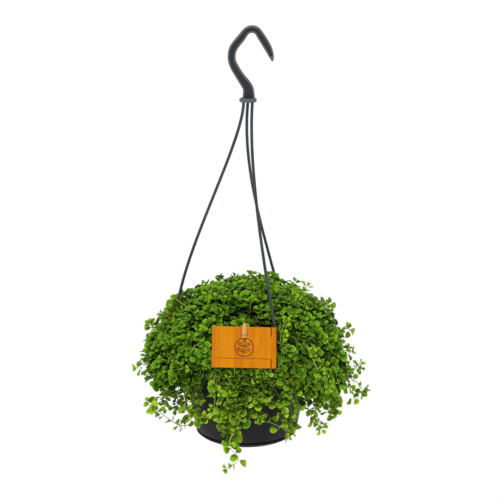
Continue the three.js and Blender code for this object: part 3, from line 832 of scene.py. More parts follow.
@dataclass
class Hook:
    """The plastic hook: an I-section bar of varying width with a collar that holds the strands."""

    stations: Sequence[Point] = (
        (-3.6, -66.6, 6.3), (-3.5, -62, 5.9), (-4.6, -54, 5.1), (-11.6, -43.8, 4.2), (-16.9, -35.2, 4.0),
        (-19.6, -29, 3.9), (-20.2, -23, 3.9), (-18.8, -16.6, 4.0), (-15.4, -11.4, 3.9),
        (-10.6, -5.6, 3.8), (-5.6, 0.7, 3.4), (-0.4, 2.7, 3.5), (4.6, 1.1, 3.5),
        (8.4, -4.2, 3.7), (11.7, -9.3, 3.8), (16.1, -17, 3.5),
        (18.7, -23.4, 2.5), (19.8, -28.2, 0.9),
    )
    steps: int = 4
    columns: int = 3
    thickness: float = 7.0
    rib: float = 1.8
    rib_share: float = 0.52
    recess: float = 1.9
    recess_end: float = 0.93
    row_reach: float = 1.7
    rounding: float = 0.45
    collar_radius: float = 8.6
    collar_edge: Sequence[Point] = (
        (0.6, 0), (0.2, 0.2), (0, 0.6), (0, 2.4), (0.3, 3.0), (0.9, 3.4), (1.8, 4.0),
    )
    socket_radius: float = 1.9

    def blade(self) -> bpy.types.Object:
        """Lays a grid along the stations, thickens it and hollows both faces.

        Returns:
            The bar.
        """
        line = spline(self.stations, self.steps)
        rows = len(line) - 1
        centre = line[:, :2]
        tangent = unit(np.gradient(centre, axis=0))
        across = np.stack([-tangent[:, 1], tangent[:, 0]], axis=1)
        Bench.clear()
        bpy.ops.mesh.primitive_grid_add(x_subdivisions=self.columns, y_subdivisions=rows, size=1)
        piece = bpy.context.object
        for vertex in piece.data.vertices:
            row = round((vertex.co.y + 0.5) * rows)
            half = line[row, 2]
            inner = half - min(self.rib, half * self.rib_share)
            offset = (half, inner, -inner, -half)[round((vertex.co.x + 0.5) * self.columns)]
            x, z = centre[row] + across[row] * offset
            vertex.co = Vector((x, -self.thickness / 2, z)) * MM
        with Bench.editing():
            bpy.ops.mesh.select_all(action="SELECT")
            Bench.extrude((0, self.thickness * MM, 0))
            Bench.tidy()
        for side in (-1, 1):
            self.sink_face(piece, centre, self.recess_end * rows, side)
        Bench.round_edges(piece, self.rounding)
        return piece

    def sink_face(self, piece: bpy.types.Object, centre: np.ndarray, last: float, side: int) -> None:
        """Pushes the middle of one face in.

        Args:
            piece: The bar.
            centre: Its centre line in X and Z.
            last: The last row of the recess.
            side: -1 for the front face and 1 for the back.
        """
        mesh = piece.data
        for element in (*mesh.vertices, *mesh.edges, *mesh.polygons):
            element.select = False
        for face in mesh.polygons:
            middle = np.array(face.center) / MM
            distance = np.linalg.norm(centre - middle[[0, 2]], axis=1)
            row = int(distance.argmin())
            on_face = abs(middle[1] - side * self.thickness / 2) < 0.01
            face.select = bool(on_face and row <= last and distance[row] < self.row_reach)
        with Bench.editing():
            bpy.ops.mesh.select_mode(type="FACE")
            Bench.extrude((0, -side * self.recess * MM, 0))
            bpy.ops.mesh.select_mode(type="VERT")

    def build(self, strands: "Strands") -> None:
        """Builds the bar and its round collar, and cuts the strands' sockets.

        Args:
            strands: The strands that its sockets hold.
        """
        piece = self.blade()
        bottom = strands.socket_bottom
        edge = [(self.collar_radius - inset, bottom + height) for inset, height in self.collar_edge]
        profile = [(0, bottom), *edge, (0, edge[-1][1]), (0, bottom)]
        Bench.combine(piece, Bench.turned(profile, (strands.socket_x, 0, 0), 48), "UNION")
        for line in strands.lines:
            top = bottom + strands.socket_depth
            Bench.bore(piece, self.socket_radius, bottom - 1, top, strands.socket(line))
        Bench.smooth(piece)
        Bench.deliver(piece, "hanger_hook", "hanger_plastic", Finish.HOOK, "hook")


@dataclass(frozen=True)
class StrandLine:
    """One strand's ends as azimuths, its curve's handles, and the height down to which it shows."""

    node: str
    socket: float
    lug: float
    leave: Point
    arrive: Point
    shown_to: float


@dataclass
class Strands:
    """Three stiff plastic strands from the hook's collar to the pot's rim."""

    radius: float = 1.5
    knob: float = 2.4
    knob_length: float = 3.0
    knob_shape: Sequence[Point] = ((0, 1), (0.5, 1), (0.8, 0.8), (1, 0.4))
    lug_circle: float = 73.0
    socket_circle: float = 5.0
    socket_x: float = -4.2
    socket_bottom: float = -68.5
    socket_depth: float = 3.2
    flange: float = RIM_FLANGE
    steps: int = 44
    lines: Sequence[StrandLine] = (
        StrandLine("strand_left", -60, -93.5, (-9.5, -3, -114), (-81, 5, -238), 37.0),
        StrandLine("strand_front", 60, 26.5, (-5, -5.5, -139), (15.8, -78.3, -245), 22.0),
        StrandLine("strand_back", 180, 146.5, (-12, 7, -146), (19.4, 58, -234), 54.0),
    )

    def socket(self, line: StrandLine) -> np.ndarray:
        """Returns the middle of a strand's socket at the collar's underside."""
        return around(self.socket_circle, line.socket, self.socket_bottom) + (self.socket_x, 0, 0)

    def lug(self, line: StrandLine) -> np.ndarray:
        """Returns where a strand passes the rim's top face."""
        return around(self.lug_circle, line.lug, 0) + POT_CENTRE

    def points(self, line: StrandLine) -> np.ndarray:
        """Draws a strand's centre line.

        Args:
            line: The strand.

        Returns:
            The line's points in the object's frame.
        """
        start, end = self.socket(line), self.lug(line)
        t = np.linspace(0, 1, self.steps + 1)[:, None]
        curve = (
            (1 - t) ** 3 * start + 3 * (1 - t) ** 2 * t * np.array(line.leave)
            + 3 * (1 - t) * t**2 * np.array(line.arrive) + t**3 * end
        )
        head = start + (0, 0, self.socket_depth - GAP)
        foot = end - (0, 0, self.flange + GAP + 0.5)
        return np.vstack([head, curve, foot])

    def build(self) -> None:
        """Builds the three strands, each with the knob that holds it under the rim."""
        top = -self.flange - GAP
        lower = [(self.knob * share, top - self.knob_length * drop) for share, drop in self.knob_shape]
        profile = [*lower, (self.knob, top - 0.2), (self.knob - 0.2, top), (0, top), lower[0]]
        for line in self.lines:
            points = self.points(line)
            piece = Bench.rod(points, self.radius, 4)
            Bench.combine(piece, Bench.turned(profile, points[-2], 24), "UNION")
            Bench.smooth(piece)
            name = line.node.replace("strand", "hanger_strand")
            Bench.deliver(piece, name, "hanger_plastic", Finish.HANGER, line.node)


# Pot, tray and soil


@dataclass
class Pot:
    """The tapered bowl with its rim, the drip tray under its foot and the soil in it."""

    rim_radius: float = 78.0
    rim_inner: float = 68.4
    flange: float = RIM_FLANGE
    lip_drop: float = 6.0
    lip_wall: float = 1.2
    wall_top: float = 70.4
    wall: float = 1.8
    foot_centre: float = 41.0
    foot_radius: float = 13.0
    foot_steps: int = 8
    height: float = 108.0
    drain_radius: float = 4.0
    drain_circle: float = 28.0
    drains: int = 4
    clip_hole: float = 4.2
    strand_hole: float = 2.0
    tray_gap: float = 0.5
    tray_wall: float = 1.5
    tray_rim: float = 42.0
    stud: float = 3.5
    head: float = 4.9
    head_height: float = 1.5
    turns: int = 104
    sharp: float = 28.0

    @property
    def foot_height(self) -> float:
        """Height of the foot's rounding centre."""
        return self.foot_radius - self.height

    @property
    def tilt(self) -> float:
        """The wall's lean from upright, in radians."""
        spread = self.wall_top - self.foot_centre - self.foot_radius
        return math.atan(spread / (self.flange - self.foot_height))

    def foot_arc(self, radius: float, end: float) -> list[Point]:
        """Draws the foot's rounding.

        Args:
            radius: The rounding's radius.
            end: Where it ends, in degrees from level.

        Returns:
            Radius and height pairs.
        """
        steps, height = self.foot_steps, self.foot_height
        turns = [math.radians(-90 + (end + 90) * step / steps) for step in range(steps + 1)]
        return [(self.foot_centre + radius * math.cos(t), height + radius * math.sin(t)) for t in turns]

    def wall_radius(self, height: float) -> float:
        """Measures the wall at a height.

        Args:
            height: The height.

        Returns:
            The outer radius.
        """
        base = self.foot_centre + self.foot_radius * math.cos(self.tilt)
        start = self.foot_height - self.foot_radius * math.sin(self.tilt)
        return base + (height - start) * math.tan(self.tilt)

    def shell(self, strands: Strands) -> None:
        """Builds the bowl with its drain holes and the strands' holes in the rim.

        Args:
            strands: The strands that pass the rim.
        """
        lean = -math.degrees(self.tilt)
        rim, inner, lip = self.rim_radius, self.rim_inner, self.rim_radius - self.lip_wall
        under, drop = -self.flange, -self.lip_drop
        floor = (self.clip_hole, -self.height)
        profile = [
            floor, *self.foot_arc(self.foot_radius, lean),
            (self.wall_radius(under - 0.8), under - 0.8), (self.wall_radius(under) + 0.8, under),
            (lip - 0.5, under), (lip, under - 0.5), (lip, drop + 0.2), (lip + 0.2, drop),
            (rim - 0.2, drop), (rim, drop + 0.2), (rim, -1.0), (rim - 0.3, -0.3), (rim - 1.0, 0),
            (inner + 0.5, 0), (inner, -0.5), *reversed(self.foot_arc(self.foot_radius - self.wall, lean)),
            (self.clip_hole, self.wall - self.height), floor,
        ]
        piece = Bench.turned(profile, POT_CENTRE, self.turns)
        top = POT_CENTRE[2]
        base = top - self.height
        for index in range(self.drains):
            place = around(self.drain_circle, 45 + index * 360 / self.drains, 0) + POT_CENTRE
            Bench.bore(piece, self.drain_radius, base - 1, base + self.wall + 1, place)
        for line in strands.lines:
            Bench.bore(piece, self.strand_hole, top - self.flange - 1, top + 1, strands.lug(line))
        Bench.smooth(piece, self.sharp)
        Bench.deliver(piece, "pot_bowl", "pot_plastic", Finish.POT, "pot_shell")

    def tray(self) -> None:
        """Builds the drip tray that hugs the foot, with the stud that clips it on."""
        inner = self.foot_radius + self.tray_gap
        outer = inner + self.tray_wall
        floor = self.foot_height - inner
        under = floor - self.tray_wall
        base = self.wall - self.height + GAP
        top = base + self.head_height
        outside, inside = (self.foot_arc(radius, -self.tray_rim) for radius in (outer, inner))
        edge = (np.array(outside[-1]) + np.array(inside[-1])) / 2
        lift = np.array([math.sin(math.radians(self.tray_rim)), math.cos(math.radians(self.tray_rim))])
        profile = [
            (0, under), (34, under), (36, under + 0.6), (38, under),
            *outside, tuple(edge + 0.35 * lift), *reversed(inside),
            (self.stud, floor), (self.stud, base), (self.head, base), (self.stud, top), (0, top),
            (0, under),
        ]
        piece = Bench.turned(profile, POT_CENTRE, self.turns)
        Bench.smooth(piece, self.sharp)
        # its plastic is painted lighter than the pot's, to lift the shade under the foot
        Bench.deliver(piece, "pot_drip_tray", "pot_plastic", Finish.TRAY, "drip_tray")

    def soil(self) -> None:
        """Gives the frame's own soil its finish."""
        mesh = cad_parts["potting_soil"].data
        mesh.materials.clear()
        mesh.materials.append(material(Finish.SOIL))
        log.info("potting_soil: finish only")

    def build(self, strands: Strands) -> None:
        """Builds the pot, its tray and the soil.

        Args:
            strands: The strands that pass the rim.
        """
        self.shell(strands)
        self.tray()
        self.soil()


# Wooden tag and its peg


@dataclass
class Tag:
    """The wooden tag with a sprig engraved in it, and the mini peg that bites its upper edge."""

    width: float = 63.0
    height: float = 40.0
    thickness: float = 1.4
    centre: Point = (-8, -80.6, -296.3)
    rounding: float = 0.18
    slit: float = 0.5
    slit_burn: float = 0.5
    slit_length: float = 9.0
    slit_inset: float = 4.8
    window_width: float = 4.2
    window_height: float = 3.8
    ring_radius: float = 9.0
    stem_aside: float = -0.9
    stem_bend: float = 0.012
    stem_bottom: float = -7.3
    stem_top: float = 2.6
    sprig_leaves: Sequence[Point] = (
        (-5.2, 28, 5.6), (-4.4, 152, 5.6), (-0.2, 34, 5.2), (0.6, 146, 5.0), (2.8, 88, 3.8),
    )
    leaf_away: float = 1.35
    leaf_share: float = 0.22
    line_radius: float = 0.52
    rule_radius: float = 0.3
    rule: Point = (-26.5, 24.9, -10.9)
    peg_tip: float = 2.4
    peg_width: float = 4.5
    peg_length: float = 15.2
    peg_thickness: float = 2.0
    peg_rise: float = 4.0
    peg_rounding: float = 0.3
    notch_drop: float = 8.4
    coil_radius: float = 1.15
    wire_radius: float = 0.34
    coil_length: float = 2.6
    coil_turns: float = 3.5
    coil_room: float = 0.4

    @property
    def matrix(self) -> Matrix:
        """The tag's place: local X runs along it, Z up its face and -Y to the viewer."""
        return Matrix.Translation(Vector(self.centre) * MM) @ tag_turn()

    @property
    def notch(self) -> float:
        """Height of the spring's groove in the tag's frame."""
        return self.height / 2 - self.notch_drop

    def put(self, piece: bpy.types.Object) -> None:
        """Smooths a piece and moves it from the tag's frame to the object's.

        Args:
            piece: The piece.
        """
        Bench.smooth(piece)
        piece.matrix_world = self.matrix @ piece.matrix_world
        Bench.settle(piece)

    def engrave(self, piece: bpy.types.Object, points: Sequence[Point], radius: float) -> None:
        """Scorches a line into the tag's front face.

        Args:
            piece: The tag.
            points: The line's points in X and Z.
            radius: Half of the line's width.
        """
        tool = Bench.rod([(x, -self.thickness / 2, z) for x, z in points], radius, 1)
        tool.data.materials.append(material(Finish.SCORCH))
        Bench.combine(piece, tool, "DIFFERENCE")

    def stem(self, height: float) -> float:
        """Returns how far aside the engraved stem runs at a height."""
        return self.stem_aside + self.stem_bend * (height + 7) ** 2

    def sprig(self) -> list[list[Point]]:
        """Draws a ring, a stem and five leaves, none of which cross.

        Returns:
            The engraved lines.
        """
        turns = [math.radians(index * 7.5) for index in range(49)]
        ring = [(self.ring_radius * math.cos(t), self.ring_radius * math.sin(t)) for t in turns]
        stem = [(self.stem(z), z) for z in np.linspace(self.stem_bottom, self.stem_top, 12)]
        return [ring, stem, *(self.leaf_line(*leaf) for leaf in self.sprig_leaves)]

    def leaf_line(self, root: float, turn: float, length: float) -> list[Point]:
        """Draws the outline of one engraved leaf.

        Args:
            root: The height on the stem where it starts.
            turn: Its direction in degrees.
            length: Its length.

        Returns:
            The outline's points.
        """
        cos, sin = math.cos(math.radians(turn)), math.sin(math.radians(turn))
        base = (self.stem(root) + self.leaf_away * cos, root + self.leaf_away * sin)
        outline = []
        for step in range(15):
            t = 2 * math.pi * step / 14
            along = length * (1 - math.cos(t)) / 2
            aside = length * self.leaf_share * math.sin(t)
            outline.append((base[0] + along * cos - aside * sin, base[1] + along * sin + aside * cos))
        return outline

    def board(self) -> None:
        """Builds the tag with its slits, its window and its engraving."""
        right, top = self.width / 2, self.height / 2
        slit_right = right - self.slit_inset
        slit_left = slit_right - self.slit
        low, high = self.slit_length - top, top - self.slit_length
        piece = Bench.plate([
            (-right, -top), (slit_left, -top), (slit_left, low), (slit_right, low),
            (slit_right, -top), (right, -top), (right, top), (slit_right, top),
            (slit_right, high), (slit_left, high), (slit_left, top), (-right, top),
        ], 0, self.thickness)
        Bench.clear()
        bpy.ops.mesh.primitive_cube_add(size=MM, location=Vector((0, 0, self.notch)) * MM)
        window = bpy.context.object
        window.scale = (self.window_width, 3 * self.thickness, self.window_height)
        Bench.settle(window)
        Bench.combine(piece, window, "DIFFERENCE")
        Bench.round_edges(piece, self.rounding)
        for finish in (Finish.TAG, Finish.SCORCH):
            piece.data.materials.append(material(finish))
        for face in piece.data.polygons:
            face.material_index = 0 if abs(face.normal.y) > 0.5 else 1
        middle = (slit_left + slit_right) / 2
        for ends in ((-top - 1, low + 0.4), (high - 0.4, top + 1)):
            self.engrave(piece, [(middle, z) for z in np.linspace(*ends, 4)], self.slit_burn)
        start, end, level = self.rule
        self.engrave(piece, [(x, level) for x in np.linspace(start, end, 8)], self.rule_radius)
        for line in self.sprig():
            self.engrave(piece, line, self.line_radius)
        self.put(piece)
        Bench.deliver(piece, "tag_board", "tag_wood", None, "wooden_tag")

    def leg(self, side: int, name: str, node: str) -> None:
        """Builds one leg of the peg.

        Args:
            side: -1 for the front leg and 1 for the back.
            name: The piece's name.
            node: The node that it stands for.
        """
        top = self.height / 2 + self.peg_rise
        bottom = top - self.peg_length
        half, tip, notch = self.peg_width / 2, self.peg_tip / 2, self.notch
        flank = [
            (half * 0.8, bottom), (half, bottom + 1.2), (half, notch - 0.9), (half - 0.6, notch - 0.5),
            (half - 0.9, notch), (half - 0.6, notch + 0.5), (half, notch + 0.9), (half * 0.96, top - 5.5),
            (half * 0.8, top - 3.4), (tip, top - 1.2), (tip * 0.8, top - 0.4), (tip * 0.45, top),
        ]
        outline = [*flank, *((-x, z) for x, z in reversed(flank))]
        middle = side * (self.thickness / 2 + GAP + self.peg_thickness / 2)
        piece = Bench.plate(outline, middle, self.peg_thickness)
        Bench.clear()
        bpy.ops.mesh.primitive_cylinder_add(
            vertices=32, radius=(self.coil_radius + self.wire_radius + self.coil_room) * MM,
            depth=3 * self.peg_width * MM, location=Vector((0, 0, notch)) * MM,
            rotation=(0, math.pi / 2, 0),
        )
        Bench.combine(piece, bpy.context.object, "DIFFERENCE")
        Bench.round_edges(piece, self.peg_rounding)
        self.put(piece)
        Bench.deliver(piece, name, "peg_wood", Finish.PEG, node)

    def spring(self) -> None:
        """Builds the wire spring: a coil between the legs and an arm round each leg."""
        reach = self.thickness / 2 + GAP + self.peg_thickness + self.wire_radius + 0.05
        side = self.peg_width / 2 - 0.9 + self.wire_radius + 0.05
        half, z = self.coil_length / 2, self.notch
        steps = int(self.coil_turns * 12)
        coil = []
        for step in range(steps + 1):
            share = step / steps
            turn = math.pi + 2 * math.pi * self.coil_turns * share
            y, rise = self.coil_radius * math.cos(turn), self.coil_radius * math.sin(turn)
            coil.append((2 * half * share - half, y, z + rise))
        front = [(side - 0.5, -reach, z), (0.4 - side, -reach, z), (-side, 0.5 - reach, z),
                 (-side, -1.9, z), (-half - 0.3, -1.4, z)]
        back = [(-x, -y, z) for x, y, z in reversed(front)]
        piece = Bench.rod([*front, *coil, *back], self.wire_radius, 2)
        self.put(piece)
        Bench.deliver(piece, "peg_wire_spring", "spring_wire", Finish.WIRE, "peg_spring")

    def build(self) -> None:
        """Builds the tag, both legs of the peg and the spring."""
        self.board()
        self.leg(-1, "peg_leg_front", "peg_front_leg")
        self.leg(1, "peg_leg_back", "peg_back_leg")
        self.spring()


# The plant


@dataclass
class LeafForm:
    """A small round leaf, modelled once: 1 long along X, upper face to +Z, closed."""

    side: Sequence[Point] = (
        (0.10, 0.06), (0.24, 0.23), (0.42, 0.38), (0.59, 0.44), (0.76, 0.42), (0.90, 0.29), (0.985, 0.12),
    )
    midrib: Sequence[Point] = (
        (0.0, 0.0), (0.17, -0.04), (0.34, -0.07), (0.5, -0.09), (0.66, -0.09), (0.82, -0.08), (1.0, -0.06),
    )
    rise: float = 0.13
    half_width: float = 0.45
    droop: float = 0.1
    thickness: float = 0.055
    under_mark: float = 1.3
    points: np.ndarray = field(init=False)
    faces: np.ndarray = field(init=False)
    blade_map: np.ndarray = field(init=False)

    def build(self) -> None:
        """Models the leaf from a grid and keeps its points, faces and map."""
        columns = len(self.side) - 1
        Bench.clear()
        bpy.ops.mesh.primitive_grid_add(x_subdivisions=columns, y_subdivisions=2, size=1)
        piece = bpy.context.object
        for vertex in piece.data.vertices:
            column = round((vertex.co.x + 0.5) * columns)
            row = round(vertex.co.y * 2)
            if row == 0:
                x, z = self.midrib[column]
                vertex.co = (x, 0, z)
            else:
                x, y = self.side[column]
                vertex.co = (x, y * row, self.rise * (y / self.half_width) ** 2 - self.droop * x**2)
        with Bench.editing():
            bpy.ops.mesh.select_all(action="SELECT")
            Bench.extrude((0, 0, -self.thickness))
        self.close_edge(piece)
        self.read(piece)
        bpy.data.objects.remove(piece)

    def close_edge(self, piece: bpy.types.Object) -> None:
        """Merges the upper and the lower outline, so that the leaf is thin at its edge.

        Args:
            piece: The thickened grid.
        """
        inner = [x for x, _ in self.midrib[1:-1]]
        for vertex in piece.data.vertices:
            on_rib = abs(vertex.co.y) < 1e-6 and any(abs(vertex.co.x - x) < 1e-6 for x in inner)
            vertex.select = not on_rib
        for element in (*piece.data.edges, *piece.data.polygons):
            element.select = False
        with Bench.editing():
            bpy.ops.mesh.remove_doubles(threshold=self.thickness * 1.2)
            bpy.ops.mesh.select_all(action="SELECT")
            bpy.ops.mesh.normals_make_consistent(inside=False)
        middle = sorted(piece.data.polygons, key=lambda face: abs(face.center.x - 0.5))[:4]
        if max(middle, key=lambda face: face.center.z).normal.z < 0:
            with Bench.editing():
                bpy.ops.mesh.flip_normals()

    def read(self, piece: bpy.types.Object) -> None:
        """Keeps the points, faces and map of the modelled leaf.

        Args:
            piece: The modelled leaf.
        """
        mesh = piece.data
        self.points = np.array([vertex.co for vertex in mesh.vertices])
        self.faces = np.array([list(face.vertices) for face in mesh.polygons])
        corners = []
        for face in mesh.polygons:
            for index in face.vertices:
                x, y, _ = self.points[index]
                corners.append((self.under_mark if face.normal.z < 0 else x, y + 0.5))
        self.blade_map = np.array(corners)
        log.info("leaf form: %d faces", len(self.faces))


def scatter(seed: int) -> np.random.Generator:
    """Returns a seeded source of random draws."""
    return np.random.default_rng(seed)


def stem_tone(draws: np.random.Generator) -> float:
    """Draws a stem's tone, which is mostly low: green rather than brown."""
    return float(draws.uniform(0, 1)) ** 2


@dataclass
class Leaves:
    """Many leaves as rows: base point, direction, upper side, length, tone, which also holds painted shade,
    and youth.
    """

    base: np.ndarray
    along: np.ndarray
    up: np.ndarray
    length: np.ndarray
    tone: np.ndarray
    youth: np.ndarray

    @staticmethod
    def joined(parts: Sequence["Leaves"]) -> "Leaves":
        """Returns several sets of leaves as one."""
        names = [row.name for row in fields(Leaves)]
        return Leaves(*(np.concatenate([getattr(part, name) for part in parts]) for name in names))

    def kept(self, mask: np.ndarray) -> "Leaves":
        """Returns the leaves that a mask keeps."""
        return Leaves(*(getattr(self, row.name)[mask] for row in fields(self)))

    def points(self, form: LeafForm) -> np.ndarray:
        """Places the leaf's form for every leaf.

        Args:
            form: The leaf that is copied.

        Returns:
            Every leaf's points: leaves, points, coordinates.
        """
        along = unit(self.along)
        up = unit(self.up - along * np.sum(self.up * along, axis=1, keepdims=True))
        axes = np.stack([along, np.cross(up, along), up], axis=1)
        scaled = form.points[None] * self.length[:, None, None]
        return np.einsum("nvi,nij->nvj", scaled, axes) + self.base[:, None]


@dataclass
class Clearing:
    """Space that leaves have to stay out of: the strands, the tag and the pot."""

    pot: Pot
    tag: Tag
    strands: Strands
    strand_room: float = 1.75
    strand_reach: float = 14.0
    tag_room: float = 0.6
    peg_half: float = 4.2
    peg_below: float = 7.0
    peg_above: float = 1.5
    peg_room: float = 0.8
    pot_room: float = 0.4

    def __post_init__(self) -> None:
        lines = [spline(self.strands.points(line), 4) - POT_CENTRE for line in self.strands.lines]
        self.line_points = np.vstack(lines)
        seen = [line[line[:, 2] > row.shown_to] for line, row in zip(lines, self.strands.lines)]
        self.shown = np.vstack(seen)
        self.tree = KDTree(len(self.line_points))
        for index, point in enumerate(self.line_points):
            self.tree.insert(point, index)
        self.tree.balance()
        self.inverse = np.array(self.tag.matrix.inverted())

    def before_tag(self, points: np.ndarray) -> np.ndarray:
        """Finds points that lie in the tag or before it, as the viewer sees it.

        Args:
            points: Points of the pot's frame.

        Returns:
            True for each such point.
        """
        tag = self.tag
        world = (points + POT_CENTRE) * MM
        local = (world @ self.inverse[:3, :3].T + self.inverse[:3, 3]) / MM
        x, y, z = np.moveaxis(local, -1, 0)
        back = tag.thickness / 2 + GAP
        board = (np.abs(x) < tag.width / 2 + self.tag_room) & (np.abs(z) < tag.height / 2 + self.tag_room)
        peg = (np.abs(x) < self.peg_half) & (z > tag.notch - self.peg_below)
        peg &= z < tag.height / 2 + tag.peg_rise + self.peg_above
        return (board & (y < back)) | (peg & (y < back + tag.peg_thickness + self.peg_room))

    def in_pot(self, points: np.ndarray) -> np.ndarray:
        """Finds points that lie in the pot or its rim.

        Args:
            points: Points of the pot's frame.

        Returns:
            True for each such point.
        """
        pot, room = self.pot, self.pot_room
        radius = np.hypot(points[..., 0], points[..., 1])
        height = points[..., 2]
        wall = pot.wall_radius(0) + height * math.tan(pot.tilt) + room
        bowl = (height < -pot.lip_drop) & (height > -pot.height - 3) & (radius < wall)
        rim = (height <= 0.5) & (height >= -pot.lip_drop - room) & (radius < pot.rim_radius + room)
        return bowl | rim

    def free(self, points: np.ndarray) -> np.ndarray:
        """Finds the leaves that are free.

        Args:
            points: Each leaf's points: leaves, points, coordinates.

        Returns:
            True for each free leaf.
        """
        blocked = (self.before_tag(points) | self.in_pot(points)).any(axis=1)
        offsets = np.abs(points.mean(axis=1)[:, None] - self.line_points[None, ::6])
        close = offsets.max(axis=2).min(axis=1) < self.strand_reach
        for index in np.flatnonzero(close & ~blocked):
            blocked[index] = any(self.tree.find(point)[2] < self.strand_room for point in points[index])
        return ~blocked


@dataclass
class Spray:
    """Leaves and stems that are gathered into one piece."""

    form: LeafForm
    clearing: Clearing
    leaves: list[Leaves] = field(default_factory=list)
    rods: list[tuple[np.ndarray, float, float]] = field(default_factory=list)
    sides: int = 4
    taper: float = 0.62

    def add(self, leaves: Leaves) -> None:
        """Takes those of some leaves that are free."""
        self.leaves.append(leaves.kept(self.clearing.free(leaves.points(self.form))))

    def rod_mesh(self, points: np.ndarray, radius: float) -> tuple[np.ndarray, list[list[int]]]:
        """Makes a thin tapered stem with closed ends.

        Args:
            points: Its centre line.
            radius: Its radius at the start.

        Returns:
            Its points and faces.
        """
        tangent = unit(np.gradient(points, axis=0))
        aside = unit(np.cross(tangent, (0.37, 0.61, 0.7)))
        other = np.cross(tangent, aside)
        turns = np.arange(self.sides) * 2 * math.pi / self.sides
        width = np.linspace(1, self.taper, len(points))[:, None, None] * radius
        ring = np.cos(turns)[None, :, None] * aside[:, None] + np.sin(turns)[None, :, None] * other[:, None]
        mesh_points = (points[:, None] + width * ring).reshape(-1, 3)
        count, sides = self.sides, range(self.sides)
        last = (len(points) - 1) * count
        faces = []
        for low in range(0, last, count):
            for side in sides:
                after = (side + 1) % count
                faces.append([low + side, low + after, low + count + after, low + count + side])
        return mesh_points, [*faces, [*reversed(sides)], [last + side for side in sides]]

    def build(self, name: str, slot: str, blade: Finish, node: str) -> None:
        """Makes the piece.

        Args:
            name: The piece's name.
            slot: The record's material slot.
            blade: The leaves' finish.
            node: The frame's node that it stands for.
        """
        form, leaves = self.form, Leaves.joined(self.leaves)
        points = leaves.points(form)
        count, size = points.shape[:2]
        rows = [points.reshape(-1, 3)]
        faces = (form.faces[None] + (np.arange(count) * size)[:, None, None]).reshape(-1, 4).tolist()
        leaf_faces, offset = len(faces), count * size
        values = {"tone": [np.repeat(leaves.tone, size)], "youth": [np.repeat(leaves.youth, size)]}
        for line, radius, tone in self.rods:
            rod_points, rod_faces = self.rod_mesh(line, radius)
            faces += [[index + offset for index in face] for face in rod_faces]
            rows.append(rod_points)
            values["tone"].append(np.full(len(rod_points), tone))
            values["youth"].append(np.zeros(len(rod_points)))
            offset += len(rod_points)
        mesh = bpy.data.meshes.new(name)
        mesh.from_pydata((np.vstack(rows) + POT_CENTRE) * MM, [], faces)
        for title, parts in values.items():
            layer = mesh.attributes.new(title, "FLOAT", "POINT")
            layer.data.foreach_set("value", np.concatenate(parts).astype(np.float32))
        corner_map = np.zeros((len(mesh.loops), 2), np.float32)
        corner_map[: count * len(form.blade_map)] = np.tile(form.blade_map, (count, 1))
        mesh.uv_layers.new(name="blade").data.foreach_set("uv", corner_map.ravel())
        for finish in (blade, Finish.STALK):
            mesh.materials.append(material(finish))
        index = np.zeros(len(mesh.polygons), np.int32)
        index[leaf_faces:] = 1
        mesh.polygons.foreach_set("material_index", index)
        piece = bpy.data.objects.new(name, mesh)
        bpy.context.scene.collection.objects.link(piece)
        Bench.smooth(piece, 60.0)
        Bench.deliver(piece, name, slot, None, node)


@dataclass
class Growth:
    """How leaves stand on a stem: crossed pairs that open wider further from the tip."""

    pair_drops: Sequence[float] = (0.0, 1.6, 5.2, 9.6)
    pair_lengths: Sequence[float] = (4.8, 7.4, 8.8, 9.2)
    pair_lifts: Sequence[float] = (50, 26, 10, -4)
    # lower pairs are painted darker: they are older, and painted shade where they lie deeper
    pair_tones: Sequence[float] = (0.86, 0.7, 0.42, 0.2)
    pair_youths: Sequence[float] = (1.0, 0.7, 0.3, 0.1)
    petiole: float = 0.7
    vigour: float = 0.12
    turn_sway: float = 0.16
    lift_sway: float = 11.0
    roll_sway: float = 0.22
    tone_sway: float = 0.13
    youth_sway: float = 0.06

    def tips(
        self, place: np.ndarray, axis: np.ndarray, size: np.ndarray, youth: float,
        pairs: Sequence[int], draws: np.random.Generator, light: np.ndarray | float,
    ) -> Leaves:
        """Puts a rosette of crossed leaf pairs on each tip.

        Args:
            place: The tips' points as rows.
            axis: The shoots' directions as rows.
            size: A scale for each rosette.
            youth: How young the leaves are, from 0 to 1.
            pairs: Which of the pairs to make.
            draws: The source of random draws.
            light: Painted shade: how lit the leaves are painted, from 0 to 1.

        Returns:
            The leaves.
        """
        count = len(place)
        vigour = draws.normal(0, self.vigour, count)
        axis = unit(axis)
        helper = np.where(np.abs(axis[:, 2:3]) < 0.9, [[0.0, 0.0, 1.0]], [[1.0, 0.0, 0.0]])
        first = unit(np.cross(axis, helper))
        second = np.cross(axis, first)
        spin = draws.uniform(0, math.pi, count)
        parts = []
        for pair in pairs:
            for half in (0, 1):
                turn = spin + (pair % 2) * math.pi / 2 + half * math.pi
                turn = turn + draws.normal(0, self.turn_sway, count)
                outward = np.cos(turn)[:, None] * first + np.sin(turn)[:, None] * second
                lift = np.radians(self.pair_lifts[pair] + draws.normal(0, self.lift_sway, count))[:, None]
                along = np.cos(lift) * outward + np.sin(lift) * axis
                up = -np.sin(lift) * outward + np.cos(lift) * axis
                up = up + self.roll_sway * draws.normal(0, 1, (count, 3))
                length = self.pair_lengths[pair] * size * draws.uniform(0.86, 1.14, count)
                base = place - axis * (self.pair_drops[pair] * size)[:, None]
                base = base + outward * self.petiole
                tone = self.pair_tones[pair] + vigour + draws.normal(0, self.tone_sway, count)
                freshness = youth * self.pair_youths[pair] * (1 + 3 * vigour)
                young = np.clip(freshness + draws.normal(0, self.youth_sway, count), 0, 1)
                # painted shade: light scales each leaf's tone
                parts.append(Leaves(base, along, up, length, np.clip(tone, 0, 1) * light, young))
        return Leaves.joined(parts)


@dataclass
class Planting:
    """What the crown and the trails share: the leaf, its growth and the space it stays out of."""

    form: LeafForm
    growth: Growth
    clearing: Clearing

    def spray(self) -> Spray:
        """Returns an empty spray."""
        return Spray(self.form, self.clearing)


